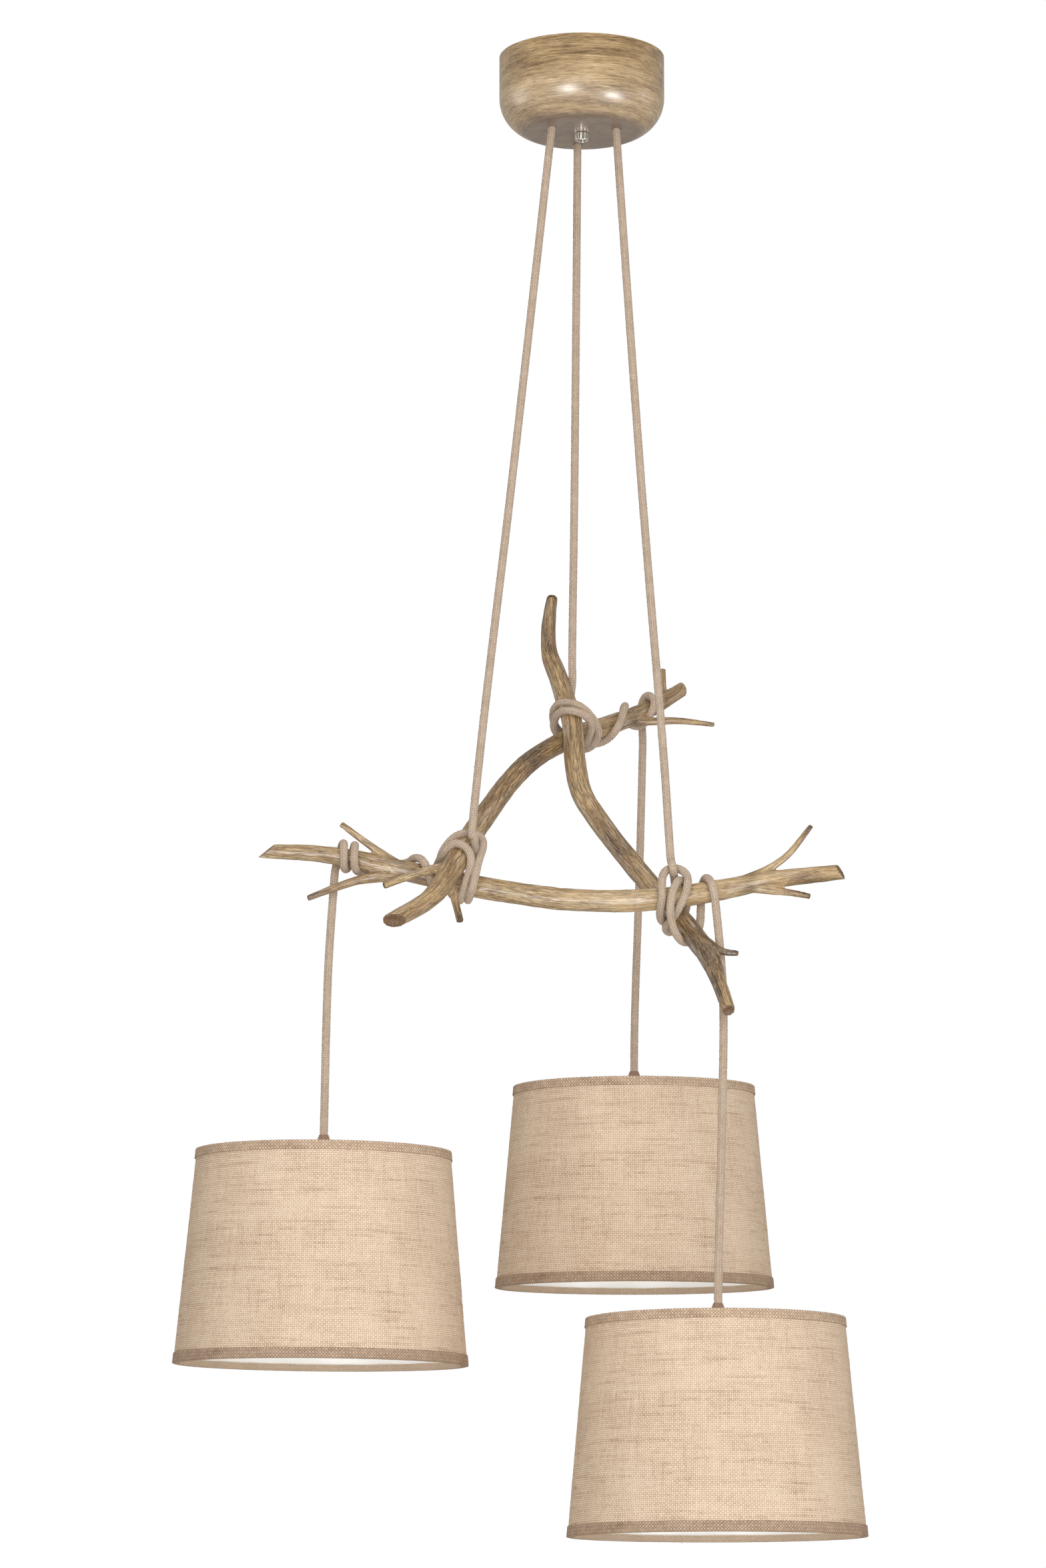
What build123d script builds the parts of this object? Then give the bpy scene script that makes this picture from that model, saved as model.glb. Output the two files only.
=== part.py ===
from build123d import *
import os
from math import cos, pi, radians, sin, sqrt, tan

os.makedirs("parts", exist_ok=True)

# Three-light pendant. Origin at the centre of the canopy's top rim, on the ceiling, +Z up,
# -Y towards the viewer, millimetres. Three cloth cords leave the canopy, lash three wooden
# branches into a triangle, wind along one branch each and drop to a fabric drum shade.

# Cord
CORD_D = 6.0
CORD_R = CORD_D / 2
HUG = 0.35  # air between a wound cord and the wood
SWING_GAP = 0.6  # between a lashing's end and the drop that swings below it
RUN_IN = 20.0  # straight cord above a cap
SPARE_END = 3.0  # cord above its stop, inside the canopy

# Canopy
CANOPY_R = 64.5
CANOPY_H = 61.0
CANOPY_STRAIGHT = 33.0
CANOPY_FLOOR_R = 43.0
CANOPY_WALL = 1.2
CORD_PITCH_R = 29.0
CORD_ANGLES = {"rear": 96, "left": 216, "right": 336}
CORD_HOLE_R = CORD_R + 0.7
STOP_R = 6.0
STOP_H = 8.0
STOP_GAP = 2.8  # room for the stops to rise and fall as the frame sways
THREAD_GAP = 0.1

# Ceiling bracket and centre stud
STRAP_L = 106.0
STRAP_W = 20.0
STRAP_T = 2.0
SLOT_SPACING = 76.0
SLOT_W = 4.5
SLOT_L = 14.0
STUD_R = 4.0
STUD_BORE_R = 2.5
STUD_BORE_L = 14.0
STUD_RECESS = 2.0
NUT_R = 5.75
NUT_H = 6.0
KNURLS = 24
STUD_L = CANOPY_H + NUT_H - STUD_RECESS
LOCK_NUT_FLATS = 13.0
LOCK_NUT_H = 4.0
BLOCK_L = 30.0
BLOCK_W = 14.0
BLOCK_H = 16.0
POLES = 3
POLE_HOLE_R = 1.6
SCREW_HOLE_R = 1.8

# Shade
SHADE_TOP_R = 94.4
SHADE_BOTTOM_R = 108.4
SHADE_H = 155.0
FABRIC_T = 0.8
LINING_T = 0.5
SKIN_GAP = 0.05
TRIM_T = 0.8
TRIM_TOP_W = 6.0
TRIM_BOTTOM_W = 7.0
WIRE_R = 1.5
SPOKES = 3
SPOKE_R = 1.5
FITTER_DROP = 33.0
FITTER_R = 28.0
FITTER_T = 1.6

# Lampholder, on the shade's axis, heights from the shade's top rim
CAP_TOP = 12.5
CAP_TOP_R = CORD_R + 0.5
CAP_BASE = -8.0
CAP_BASE_R = 11.0
HOLDER_R = 20.0
HOLDER_SHOULDER = -18.0
FLANGE_R = 23.0
FLANGE_T = 3.0
SKIRT_R = 19.7
HOLDER_END = -63.0
SOCKET_R = 14.2
SOCKET_TOP = -27.0
RUN_GAP = 0.3  # between pieces that turn on each other
RING_R = 28.5
RING_H = 8.0
RING_GRIPS = 12
INSERT_H = 7.0

# Lamp
LAMP_BASE_R = 13.1
LAMP_BASE_H = 25.0
LAMP_GLOBE_R = 30.0
LAMP_NECK_R = 12.0
LAMP_L = 108.0
LAMP_WALL = 1.0


def finish(part, label):
    part.label = label
    export_step(part, f"parts/{label}.step")


def lean_plane(x, y, z, lean):
    """Plane whose normal leans by so many degrees towards +X."""
    slope = radians(lean)
    return Plane(origin=(x, y, z), x_dir=(cos(slope), 0, -sin(slope)), z_dir=(sin(slope), 0, cos(slope)))


def upright(frame):
    """The vertical plane through a frame's axis: its X outward, its Y up the axis."""
    return Plane(origin=frame.origin, x_dir=frame.x_dir, z_dir=-frame.y_dir)


def spin_axis(frame):
    return Axis(frame.origin, frame.z_dir)


def along(point, direction):
    """Plane square to a direction, with a steady X axis."""
    return Plane(origin=point, x_dir=(1, 0, 0), z_dir=direction)


# Canopy and ceiling fittings

with BuildPart() as canopy:
    with BuildSketch(Plane.XZ):
        with BuildLine():
            wall_foot = (CANOPY_R, -CANOPY_STRAIGHT)
            floor_edge = (CANOPY_FLOOR_R, -CANOPY_H)
            Line((0, 0), (CANOPY_R, 0))
            Line((CANOPY_R, 0), wall_foot)
            TangentArc(wall_foot, floor_edge, tangent=(0, -1))
            Line(floor_edge, (0, -CANOPY_H))
            Line((0, -CANOPY_H), (0, 0))
        make_face()
    revolve(axis=Axis.Z)
    offset(amount=-CANOPY_WALL, openings=canopy.faces().sort_by(Axis.Z)[-1])
    with BuildSketch(Plane.XY.offset(-CANOPY_H)):
        Circle(STUD_R + 2 * THREAD_GAP)
        for angle in CORD_ANGLES.values():
            with Locations((CORD_PITCH_R * cos(radians(angle)), CORD_PITCH_R * sin(radians(angle)))):
                Circle(CORD_HOLE_R)
    extrude(amount=2 * CANOPY_WALL, mode=Mode.SUBTRACT)
finish(canopy.part, "canopy")

with BuildPart() as bracket:
    with BuildSketch(Plane.XY.offset(-STRAP_T)):
        RectangleRounded(STRAP_L, STRAP_W, STRAP_W / 4)
        with GridLocations(SLOT_SPACING, 0, 2, 1):
            SlotOverall(SLOT_L, SLOT_W, mode=Mode.SUBTRACT)
        Circle(STUD_R + THREAD_GAP, mode=Mode.SUBTRACT)
    extrude(amount=STRAP_T)
finish(bracket.part, "ceiling_bracket")

with BuildPart() as stud:
    with BuildSketch():
        Circle(STUD_R)
    extrude(amount=-STUD_L)
    with Locations(Plane.XY.offset(-STUD_L).rotated((180, 0, 0))):
        Hole(STUD_BORE_R, depth=STUD_BORE_L)
finish(stud.part, "centre_stud")

with BuildPart() as lock_nut:
    with BuildSketch(Plane.XY.offset(-STRAP_T - LOCK_NUT_H)):
        RegularPolygon(LOCK_NUT_FLATS / 2, 6, major_radius=False)
        Circle(STUD_R + THREAD_GAP, mode=Mode.SUBTRACT)
    extrude(amount=LOCK_NUT_H)
finish(lock_nut.part, "stud_lock_nut")

with BuildPart() as canopy_nut:
    with BuildSketch(Plane.XY.offset(-CANOPY_H - NUT_H)):
        Circle(NUT_R)
        Circle(STUD_R + THREAD_GAP, mode=Mode.SUBTRACT)
        with PolarLocations(NUT_R, KNURLS):
            RegularPolygon(NUT_R / KNURLS, 4, mode=Mode.SUBTRACT)
    extrude(amount=NUT_H - THREAD_GAP)
finish(canopy_nut.part, "canopy_nut")

with BuildPart() as terminal_block:
    with BuildSketch(Plane.XY.offset(-STRAP_T - BLOCK_H)):
        with Locations((BLOCK_L / 2 + LOCK_NUT_FLATS, 0)):
            RectangleRounded(BLOCK_L, BLOCK_W, BLOCK_W / 8)
    extrude(amount=BLOCK_H)
    pole_pitch = BLOCK_L / POLES
    with Locations(Plane.XZ.offset(BLOCK_W / 2)):
        with Locations((BLOCK_L / 2 + LOCK_NUT_FLATS, -STRAP_T - BLOCK_H / 2)):
            with GridLocations(pole_pitch, 0, POLES, 1):
                Hole(POLE_HOLE_R, depth=BLOCK_W)
    with Locations(Plane.XY.offset(-STRAP_T - BLOCK_H).rotated((180, 0, 0))):
        with Locations((BLOCK_L / 2 + LOCK_NUT_FLATS, 0)):
            with GridLocations(pole_pitch, BLOCK_W / 2, POLES, 2):
                Hole(SCREW_HOLE_R, depth=BLOCK_H / 3)
finish(terminal_block.part, "terminal_block")


# Branches. Each stem is a smooth loft through circles, one for each x, y, z, radius; its
# twigs are lofted the same way from inside the stem. Ends are sawn at a slant.

FRONT_STEM = [
    (-239, -61, -638, 4.9), (-193, -64, -641, 6.5), (-138, -69, -653, 7.5), (-73, -74, -668, 8.2),
    (-13, -79, -677, 8.2), (46, -84, -678, 8.2), (101, -88, -671, 7.8), (140, -92, -664, 6.6),
    (191, -96, -659, 4.8),
]
FRONT_TWIGS = [
    [(-138, -69, -650, 3.6), (-158, -67, -637, 2.8), (-182, -63, -618, 2.1)],
    [(-128, -70, -657, 4.2), (-154, -71, -658.5, 3.9), (-170, -70, -661, 3.1), (-187, -70, -666, 2.7),
     (-204.5, -71, -673, 2.2)],
    [(119, -90, -664, 4.0), (136, -90, -656, 3.1), (151, -89, -645, 2.6), (169, -86, -622.5, 2.0)],
    [(116, -91, -669, 3.8), (135, -93, -672, 3.2), (151, -95, -674, 2.6), (167, -98, -677.5, 2.1)],
]
DIAGONAL_STEM = [
    (-141, -143, -701, 6.3), (-113, -110, -679, 6.9), (-96, -81, -649, 7.5), (-77, -48, -612, 7.9),
    (-45, 1, -563, 7.8), (-7, 59, -529, 7.8), (17, 97, -515, 7.8), (39, 132, -501, 7.3),
    (56, 156, -489, 6.8), (83, 191, -467, 5.3),
]
DIAGONAL_TWIGS = [
    [(-98, -84, -654, 4.2), (-117, -92, -659, 3.2), (-135, -95, -664, 2.8), (-149, -98, -669, 2.6)],
    [(-100, -91, -662, 4.0), (-97, -97, -678, 3.0), (-92.5, -103, -697, 2.7)],
    [(66, 171, -479, 3.0), (66.4, 173, -466, 2.5), (66, 174, -455, 2.3)],
    [(34, 125, -505, 4.0), (51.5, 138, -503, 3.4), (77, 146, -501, 2.8), (106.5, 152, -503, 1.8)],
]
TALL_STEM = [
    (-23, 108, -409, 4.4), (-26, 92, -436, 5.6), (-25, 77, -460, 6.5), (-18, 61, -484, 7.5),
    (-8, 37, -523, 7.8), (-6, 18, -555, 7.7), (-1, 0, -584, 7.8), (19, -23, -619, 7.7),
    (55, -60, -670, 7.7), (76, -85, -702, 7.4), (85, -99, -715, 6.9), (93, -112, -730, 6.5),
    (97, -121, -742, 5.8), (102, -136, -762, 4.7),
]
TALL_TWIGS = [
    [(-23, 72, -464, 3.2), (-24, 84, -441, 3.0), (-23.3, 101, -411, 2.7)],
    [(80, -92, -704, 4.2), (91, -105, -713, 3.4), (101, -112, -720.5, 2.7), (112.5, -116, -722.5, 2.1)],
]


def circles(stations, steady):
    """One circle for each station, square to the stem there."""
    points = [Vector(*station[:3]) for station in stations]
    sections = []
    for number, point in enumerate(points):
        behind = points[max(number - 1, 0)]
        ahead = points[min(number + 1, len(points) - 1)]
        with BuildSketch(Plane(origin=point, x_dir=steady, z_dir=ahead - behind)) as section:
            Circle(stations[number][3])
        sections.append(section.sketch.face())
    return sections


def saw(stations, number, slant):
    """Cut an end off at a slant: slant is added to the stem's outward direction."""
    end = Vector(*stations[number][:3])
    inner = Vector(*stations[1 if number == 0 else number - 1][:3])
    outward = (end - inner).normalized()
    face = (outward + Vector(*slant)).normalized()
    back = end - outward * stations[number][3] * 1.4
    split(bisect_by=Plane(origin=back, z_dir=face), keep=Keep.BOTTOM)


with BuildPart() as branch_front:
    loft(circles(FRONT_STEM, (0, 0, 1)))
    saw(FRONT_STEM, 0, (0, -0.2, 0.9))
    saw(FRONT_STEM, -1, (0, -0.2, 0.5))
    for twig in FRONT_TWIGS:
        loft(circles(twig, (0, 0, 1)))
finish(branch_front.part, "branch_front")

with BuildPart() as branch_diagonal:
    loft(circles(DIAGONAL_STEM, (0, 0, 1)))
    saw(DIAGONAL_STEM, 0, (-0.5, -0.3, -0.4))
    saw(DIAGONAL_STEM, -1, (0.5, 0, -0.1))
    for twig in DIAGONAL_TWIGS:
        loft(circles(twig, (1, 0, 0.1) if abs(twig[0][0] - twig[-1][0]) < 12 else (0, 0, 1)))
finish(branch_diagonal.part, "branch_diagonal")

with BuildPart() as branch_tall:
    loft(circles(TALL_STEM, (1, 0, 0)))
    saw(TALL_STEM, -1, (0.2, -0.5, 0.2))
    for twig in TALL_TWIGS:
        loft(circles(twig, (0, 1, 0.1) if twig[0][2] > -600 else (0, 0, 1)))
finish(branch_tall.part, "branch_tall")


# Cords. Each runs from its stop in the canopy to its lashing, tight and nearly straight.

UPPER_ROUTES = {
    "left": [(-53.1, -54, -343.5), (-72.5, -70, -510), (-83.3, -84, -614)],
    "rear": [(-5.3, 44, -320.6), (-7.9, 54.2, -471)],
    "right": [(40.7, -45, -304.8), (51.5, -63, -458), (60, -77, -573), (64, -80, -640)],
}


def tube(label, points):
    """Cord through points: straight runs joined by tangent arcs."""
    points = [Vector(*point) for point in points]
    runs = [ahead - behind for behind, ahead in zip(points, points[1:])]
    radii = []
    for before, after in zip(runs, runs[1:]):
        turned = radians(before.get_angle(after))
        radii.append(0.45 * min(before.length, after.length) / tan(turned / 2))
    with BuildPart() as cord:
        with BuildLine() as route:
            FilletPolyline(*points, radius=radii)
        with BuildSketch(along(points[0], runs[0])):
            Circle(CORD_R)
        sweep()
    length = route.wire().length
    print(label, "length", round(length, 1), "radii", [round(radius) for radius in radii],
          "volume ratio", round(cord.part.volume / (pi * CORD_R**2 * length), 4))
    finish(cord.part, label)


for side, places in UPPER_ROUTES.items():
    angle = radians(CORD_ANGLES[side])
    outlet = Vector(CORD_PITCH_R * cos(angle), CORD_PITCH_R * sin(angle), CANOPY_WALL - CANOPY_H)
    heading = (outlet - Vector(*places[0])).normalized()
    stop_base = outlet + heading * STOP_GAP
    with BuildPart() as stop:
        with BuildSketch(along(stop_base, heading)):
            Circle(STOP_R)
            Circle(CORD_R, mode=Mode.SUBTRACT)
        extrude(amount=STOP_H)
    finish(stop.part, f"cord_stop_{side}")
    tube(f"cord_upper_{side}", [stop_base + heading * (STOP_H + SPARE_END), *places])


# Lashings. A turn is four points a quarter turn apart on an ellipse that climbs along the
# wood: centre, half axes across and through, climb in a whole turn. Pairs of arcs join them.

TURNS = {
    "left": [
        [(-80.8, -70.9, -670.8), (-4.4, 9.6, 5.8), (-3.8, 2.7, -13.2), (-20.6, -13.8, 29.3)],
        [(-101.7, -79.0, -663.8), (-2.4, 8.6, 19.5), (-1.0, 14.4, -15.8), (33.2, 13.5, 11.7)],
        [(-98.5, -78.2, -642.6), (-0.7, 6.8, 12.7), (-4.2, 13.8, -13.7), (-38.1, 16.4, -26.5)],
        [(-144.8, -68.7, -647.7), (1.5, 11.3, 1.6), (-12.0, 3.1, -9.6), (-52.4, 6.9, 5.5)],
        [(-174.7, -66.6, -643.9), (-0.4, 11.1, -3.2), (-2.5, -3.6, -10.0), (-11.4, 5.0, 1.6)],
    ],
    "rear": [
        [(9.3, 59.6, -505.9), (-14.4, 1.4, 11.0), (-16.5, 16.3, -18.2), (-41.5, -20.1, -37.3)],
        [(-5.5, 51.2, -523.9), (-19.1, -4.5, -2.9), (-3.3, 17.1, -21.5), (-6.9, 0.1, -4.5)],
        [(-7.2, 35.3, -502.2), (-15.6, 10.9, -4.6), (1.7, 16.6, -24.0), (52.0, 152.8, -21.1)],
        [(47.8, 148.7, -492.0), (2.2, 0.3, -12.5), (11.2, -4.1, 2.2), (15.2, 12.8, 2.2)],
    ],
    "right": [
        [(68.4, -79.8, -678.1), (-2.3, -13.1, 12.4), (-7.4, -12.0, -14.5), (-4.2, 0.0, -17.0)],
        [(56.0, -77.0, -677.8), (1.1, -13.1, 15.0), (-5.3, -14.4, -10.6), (15.1, -0.7, -2.6)],
        [(73.2, -85.8, -688.1), (1.4, -10.3, 20.0), (-8.9, -5.7, -16.8), (8.2, 4.7, 4.4)],
    ],
}
DROP_ROUTES = {
    "left": [(-187.2, -54.5, -652), (-191.4, -54.5, -709.8), (-193, -54.5, -768)],
    "rear": [(49.6, 161, -517), (47.8, 161, -585), (45.2, 161, -662), (43.4, 161, -705)],
    "right": [(96.4, -100, -680), (100.6, -100, -722), (102.4, -100, -762), (101, -100, -826),
              (99, -100, -895)],
}


def turn(centre, across, through, climb):
    """The four stations of a turn: where the cord is and the way it heads."""
    centre, across, through, climb = (Vector(*value) for value in (centre, across, through, climb))
    stations = []
    for quarter in range(4):
        phase = radians(90 * quarter)
        place = centre + across * cos(phase) + through * sin(phase) + climb * (quarter / 4)
        way = through * cos(phase) - across * sin(phase) + climb / (2 * pi)
        stations.append((place, way.normalized()))
    return stations


def meeting(start, start_way, end, end_way):
    """Where the two tangent arcs between a pair of stations meet, and the way there."""
    chord = end - start
    ways = start_way + end_way
    spread = 2 * (1 - start_way.dot(end_way))
    reach = (sqrt(chord.dot(ways)**2 + spread * chord.dot(chord)) - chord.dot(ways)) / spread
    near = start + start_way * reach
    far = end - end_way * reach
    return (near + far) / 2, (far - near).normalized()


def least_gap(route):
    """Least air between strands of a wound route more than a half turn apart, on points 1 mm apart."""
    steps = int(route.length)
    places = [route.position_at(step / steps) for step in range(steps + 1)]
    half_turn = int(3 * CORD_D)
    return min(
        (places[first] - places[second]).length
        for first in range(0, steps) for second in range(first + half_turn, steps + 1)
    ) - CORD_D


for side, turns in TURNS.items():
    begin, before = (Vector(*place) for place in (UPPER_ROUTES[side][-1], UPPER_ROUTES[side][-2]))
    end, after = (Vector(*place) for place in DROP_ROUTES[side][:2])
    begin_way = (begin - before).normalized()
    end_way = (after - end).normalized()
    stations = [(begin + begin_way * CORD_D, begin_way)]
    for values in turns:
        stations += turn(*values)
    stations.append((end - end_way * CORD_D, end_way))
    with BuildPart() as lashing:
        with BuildLine() as winding:
            Line(begin, stations[0][0])
            for (place, way), (next_place, next_way) in zip(stations, stations[1:]):
                join, join_way = meeting(place, way, next_place, next_way)
                TangentArc(place, join, tangent=way)
                TangentArc(join, next_place, tangent=join_way)
            Line(stations[-1][0], end)
        with BuildSketch(along(begin, begin_way)):
            Circle(CORD_R)
        sweep()
    route = winding.wire()
    bends = [edge.radius for edge in route.edges() if edge.geom_type == GeomType.CIRCLE]
    print(f"lashing_{side}", "length", round(route.length, 1), "least radius", round(min(bends), 1),
          "least gap to itself", round(least_gap(route), 2), "volume ratio",
          round(lashing.part.volume / (pi * CORD_R**2 * route.length), 4))
    finish(lashing.part, f"lashing_{side}")


# Pendants. Each hangs from its drop and leans by a degree or so, as photographed.

PENDANTS = {
    "left": dict(top=(-194.5, -54.5, -863.0), lean=1.1),
    "rear": dict(top=(41.7, 161.0, -792.0), lean=0.0),
    "right": dict(top=(96.5, -100.0, -990.5), lean=0.3),
}
SLOPE = (SHADE_BOTTOM_R - SHADE_TOP_R) / SHADE_H


def shade_r(height, depth):
    """Radius at a height below the rim, so far inside the fabric's outer face."""
    return SHADE_TOP_R - SLOPE * height - depth


def skin(frame, depth, thickness):
    """Profile of a cone-shaped layer as tall as the shade."""
    with BuildSketch(upright(frame)) as profile:
        with BuildLine():
            Polyline(
                (shade_r(0, depth), 0), (shade_r(-SHADE_H, depth), -SHADE_H),
                (shade_r(-SHADE_H, depth + thickness), -SHADE_H), (shade_r(0, depth + thickness), 0),
                close=True,
            )
        make_face()
    return profile.sketch


WIRE_INSET = FABRIC_T + LINING_T + 2 * SKIN_GAP + WIRE_R
TRIM_COVERS = WIRE_INSET + WIRE_R


def trim(frame, edge, width, up):
    """Profile of a tape on the outside of a rim, folded over its edge. up is 1 at the top rim."""
    inner = -SKIN_GAP
    with BuildSketch(upright(frame)) as profile:
        with BuildLine():
            low = edge - up * width
            fold = edge + up * SKIN_GAP
            crown = edge + up * TRIM_T
            Polyline(
                (shade_r(low, inner), low), (shade_r(fold, inner), fold),
                (shade_r(edge, TRIM_COVERS), fold), (shade_r(edge, TRIM_COVERS), crown),
                (shade_r(crown, inner - TRIM_T), crown), (shade_r(low, inner - TRIM_T), low),
                close=True,
            )
        make_face()
    return profile.sketch


def wire(frame, height):
    """Profile of a wire ring inside the shade."""
    with BuildSketch(upright(frame)) as profile:
        with Locations((shade_r(height, WIRE_INSET), height)):
            RegularPolygon(WIRE_R, 6)
    return profile.sketch


def pendant(side, top, lean):
    frame = lean_plane(*top, lean)

    loose_end, *hanging = (Vector(*place) for place in DROP_ROUTES[side])
    head = loose_end + (hanging[0] - loose_end).normalized() * SWING_GAP
    run_in = [frame.from_local_coords(Vector(0, 0, height)) for height in (CAP_TOP + RUN_IN, CAP_BASE)]
    tube(f"cord_drop_{side}", [head, *hanging, *run_in])

    with BuildPart() as cover:
        revolve(skin(frame, 0, FABRIC_T), axis=spin_axis(frame))
    finish(cover.part, f"shade_fabric_{side}")

    with BuildPart() as lining:
        revolve(skin(frame, FABRIC_T + SKIN_GAP, LINING_T), axis=spin_axis(frame))
    finish(lining.part, f"shade_lining_{side}")

    with BuildPart() as top_trim:
        revolve(trim(frame, 0, TRIM_TOP_W, 1), axis=spin_axis(frame))
    finish(top_trim.part, f"trim_top_{side}")

    with BuildPart() as bottom_trim:
        revolve(trim(frame, -SHADE_H, TRIM_BOTTOM_W, -1), axis=spin_axis(frame))
    finish(bottom_trim.part, f"trim_bottom_{side}")

    with BuildPart() as bottom_ring:
        revolve(wire(frame, -SHADE_H + WIRE_R), axis=spin_axis(frame))
    finish(bottom_ring.part, f"bottom_ring_{side}")

    with BuildPart() as carrier:
        revolve(wire(frame, -WIRE_R), axis=spin_axis(frame))
        with BuildSketch(frame.offset(-FITTER_DROP - FITTER_T)):
            Circle(FITTER_R)
            Circle(SKIRT_R + RUN_GAP, mode=Mode.SUBTRACT)
        extrude(amount=FITTER_T)
        rim_end = Vector(shade_r(-WIRE_R, WIRE_INSET), 0, -WIRE_R)
        hub_end = Vector(FITTER_R - SPOKE_R, 0, -FITTER_DROP)
        for number in range(SPOKES):
            turn = 360 / SPOKES * number + 90
            outer = frame.from_local_coords(rim_end.rotate(Axis.Z, turn))
            inner = frame.from_local_coords(hub_end.rotate(Axis.Z, turn))
            with BuildSketch(Plane(origin=inner, z_dir=outer - inner)):
                Circle(SPOKE_R)
            extrude(amount=(outer - inner).length)
    finish(carrier.part, f"shade_carrier_{side}")

    with BuildPart() as cap:
        with BuildSketch(upright(frame)):
            with BuildLine():
                Polyline(
                    (CORD_R, CAP_TOP), (CAP_TOP_R, CAP_TOP), (CAP_BASE_R, CAP_BASE), (CORD_R, CAP_BASE),
                    close=True,
                )
            make_face()
        revolve(axis=spin_axis(frame))
    finish(cap.part, f"cord_cap_{side}")

    flange_top = -FITTER_DROP + RUN_GAP + FLANGE_T
    with BuildPart() as holder:
        with BuildSketch(upright(frame)):
            with BuildLine():
                Polyline((HOLDER_R, HOLDER_SHOULDER), (HOLDER_R, flange_top), (FLANGE_R, flange_top),
                         (FLANGE_R, flange_top - FLANGE_T), (SKIRT_R, flange_top - FLANGE_T),
                         (SKIRT_R, HOLDER_END), (SOCKET_R, HOLDER_END), (SOCKET_R, SOCKET_TOP),
                         (0, SOCKET_TOP), (0, CAP_BASE), (CAP_BASE_R, CAP_BASE))
                TangentArc((HOLDER_R, HOLDER_SHOULDER), (CAP_BASE_R, CAP_BASE), tangent=(0, 1))
            make_face()
        revolve(axis=spin_axis(frame))
    finish(holder.part, f"lampholder_{side}")

    with BuildPart() as insert:
        with BuildSketch(frame.offset(SOCKET_TOP - INSERT_H)):
            Circle(SOCKET_R - THREAD_GAP)
        extrude(amount=INSERT_H)
        with BuildSketch(frame.offset(SOCKET_TOP - INSERT_H)):
            Circle(SOCKET_R - THREAD_GAP)
            Rectangle(2 * SOCKET_R, SOCKET_R / 2, mode=Mode.SUBTRACT)
        extrude(amount=INSERT_H / 2, mode=Mode.SUBTRACT)
    finish(insert.part, f"contact_insert_{side}")

    ring_top = -FITTER_DROP - FITTER_T - RUN_GAP
    with BuildPart() as ring_nut:
        with BuildSketch(frame.offset(ring_top - RING_H)):
            Circle(RING_R)
            Circle(SKIRT_R + RUN_GAP, mode=Mode.SUBTRACT)
            with PolarLocations(RING_R + 1, RING_GRIPS):
                Circle(RING_R / RING_GRIPS, mode=Mode.SUBTRACT)
        extrude(amount=RING_H)
    finish(ring_nut.part, f"shade_ring_nut_{side}")

    base_top = SOCKET_TOP - INSERT_H - RUN_GAP
    base_end = base_top - LAMP_BASE_H
    with BuildPart() as lamp_base:
        with BuildSketch(upright(frame)):
            with BuildLine():
                Polyline((0, base_top), (LAMP_BASE_R / 3, base_top), (LAMP_BASE_R, base_top - 5),
                         (LAMP_BASE_R, base_end), (LAMP_NECK_R + THREAD_GAP, base_end),
                         (LAMP_NECK_R + THREAD_GAP, base_end + 6), (0, base_end + 6), close=True)
            make_face()
        revolve(axis=spin_axis(frame))
    finish(lamp_base.part, f"lamp_base_{side}")

    globe = base_top - LAMP_L + LAMP_GLOBE_R
    neck_top = base_end + 6 - THREAD_GAP
    with BuildPart() as lamp_glass:
        with BuildSketch(upright(frame)):
            with BuildLine():
                neck_foot = (LAMP_NECK_R, base_end)
                bottom = (0, globe - LAMP_GLOBE_R)
                equator = (LAMP_GLOBE_R, globe)
                Line((LAMP_NECK_R, neck_top), neck_foot)
                Spline(neck_foot, equator, tangents=((0, -1), (0, -1)))
                RadiusArc(equator, bottom, LAMP_GLOBE_R)
                Line(bottom, (0, globe - LAMP_GLOBE_R + LAMP_WALL))
                RadiusArc((0, globe - LAMP_GLOBE_R + LAMP_WALL), (LAMP_GLOBE_R - LAMP_WALL, globe),
                          -(LAMP_GLOBE_R - LAMP_WALL))
                Spline((LAMP_GLOBE_R - LAMP_WALL, globe), (LAMP_NECK_R - LAMP_WALL, base_end),
                       tangents=((0, 1), (0, 1)))
                Line((LAMP_NECK_R - LAMP_WALL, base_end), (LAMP_NECK_R - LAMP_WALL, neck_top))
                Line((LAMP_NECK_R - LAMP_WALL, neck_top), (LAMP_NECK_R, neck_top))
            make_face()
        revolve(axis=spin_axis(frame))
    finish(lamp_glass.part, f"lamp_glass_{side}")


for side, place in PENDANTS.items():
    pendant(side, **place)
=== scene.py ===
from math import cos, pi, radians, sin, sqrt

import bmesh
import bpy
import numpy as np
from mathutils import Matrix, Vector, kdtree, noise


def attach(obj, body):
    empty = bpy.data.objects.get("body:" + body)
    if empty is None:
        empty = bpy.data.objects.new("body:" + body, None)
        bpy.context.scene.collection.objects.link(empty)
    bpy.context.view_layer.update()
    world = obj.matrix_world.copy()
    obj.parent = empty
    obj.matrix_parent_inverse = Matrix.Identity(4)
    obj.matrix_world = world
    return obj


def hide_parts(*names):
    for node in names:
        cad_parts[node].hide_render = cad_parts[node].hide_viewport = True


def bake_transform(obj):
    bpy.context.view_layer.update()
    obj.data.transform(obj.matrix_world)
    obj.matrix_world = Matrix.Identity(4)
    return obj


# A three-light pendant: three cloth cords leave a small canopy, lash three branches into a
# triangle and drop to fabric drum shades. Lengths below are in millimetres unless they say
# otherwise; the origin is the middle of the canopy's rim on the ceiling and +Z is up.

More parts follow.
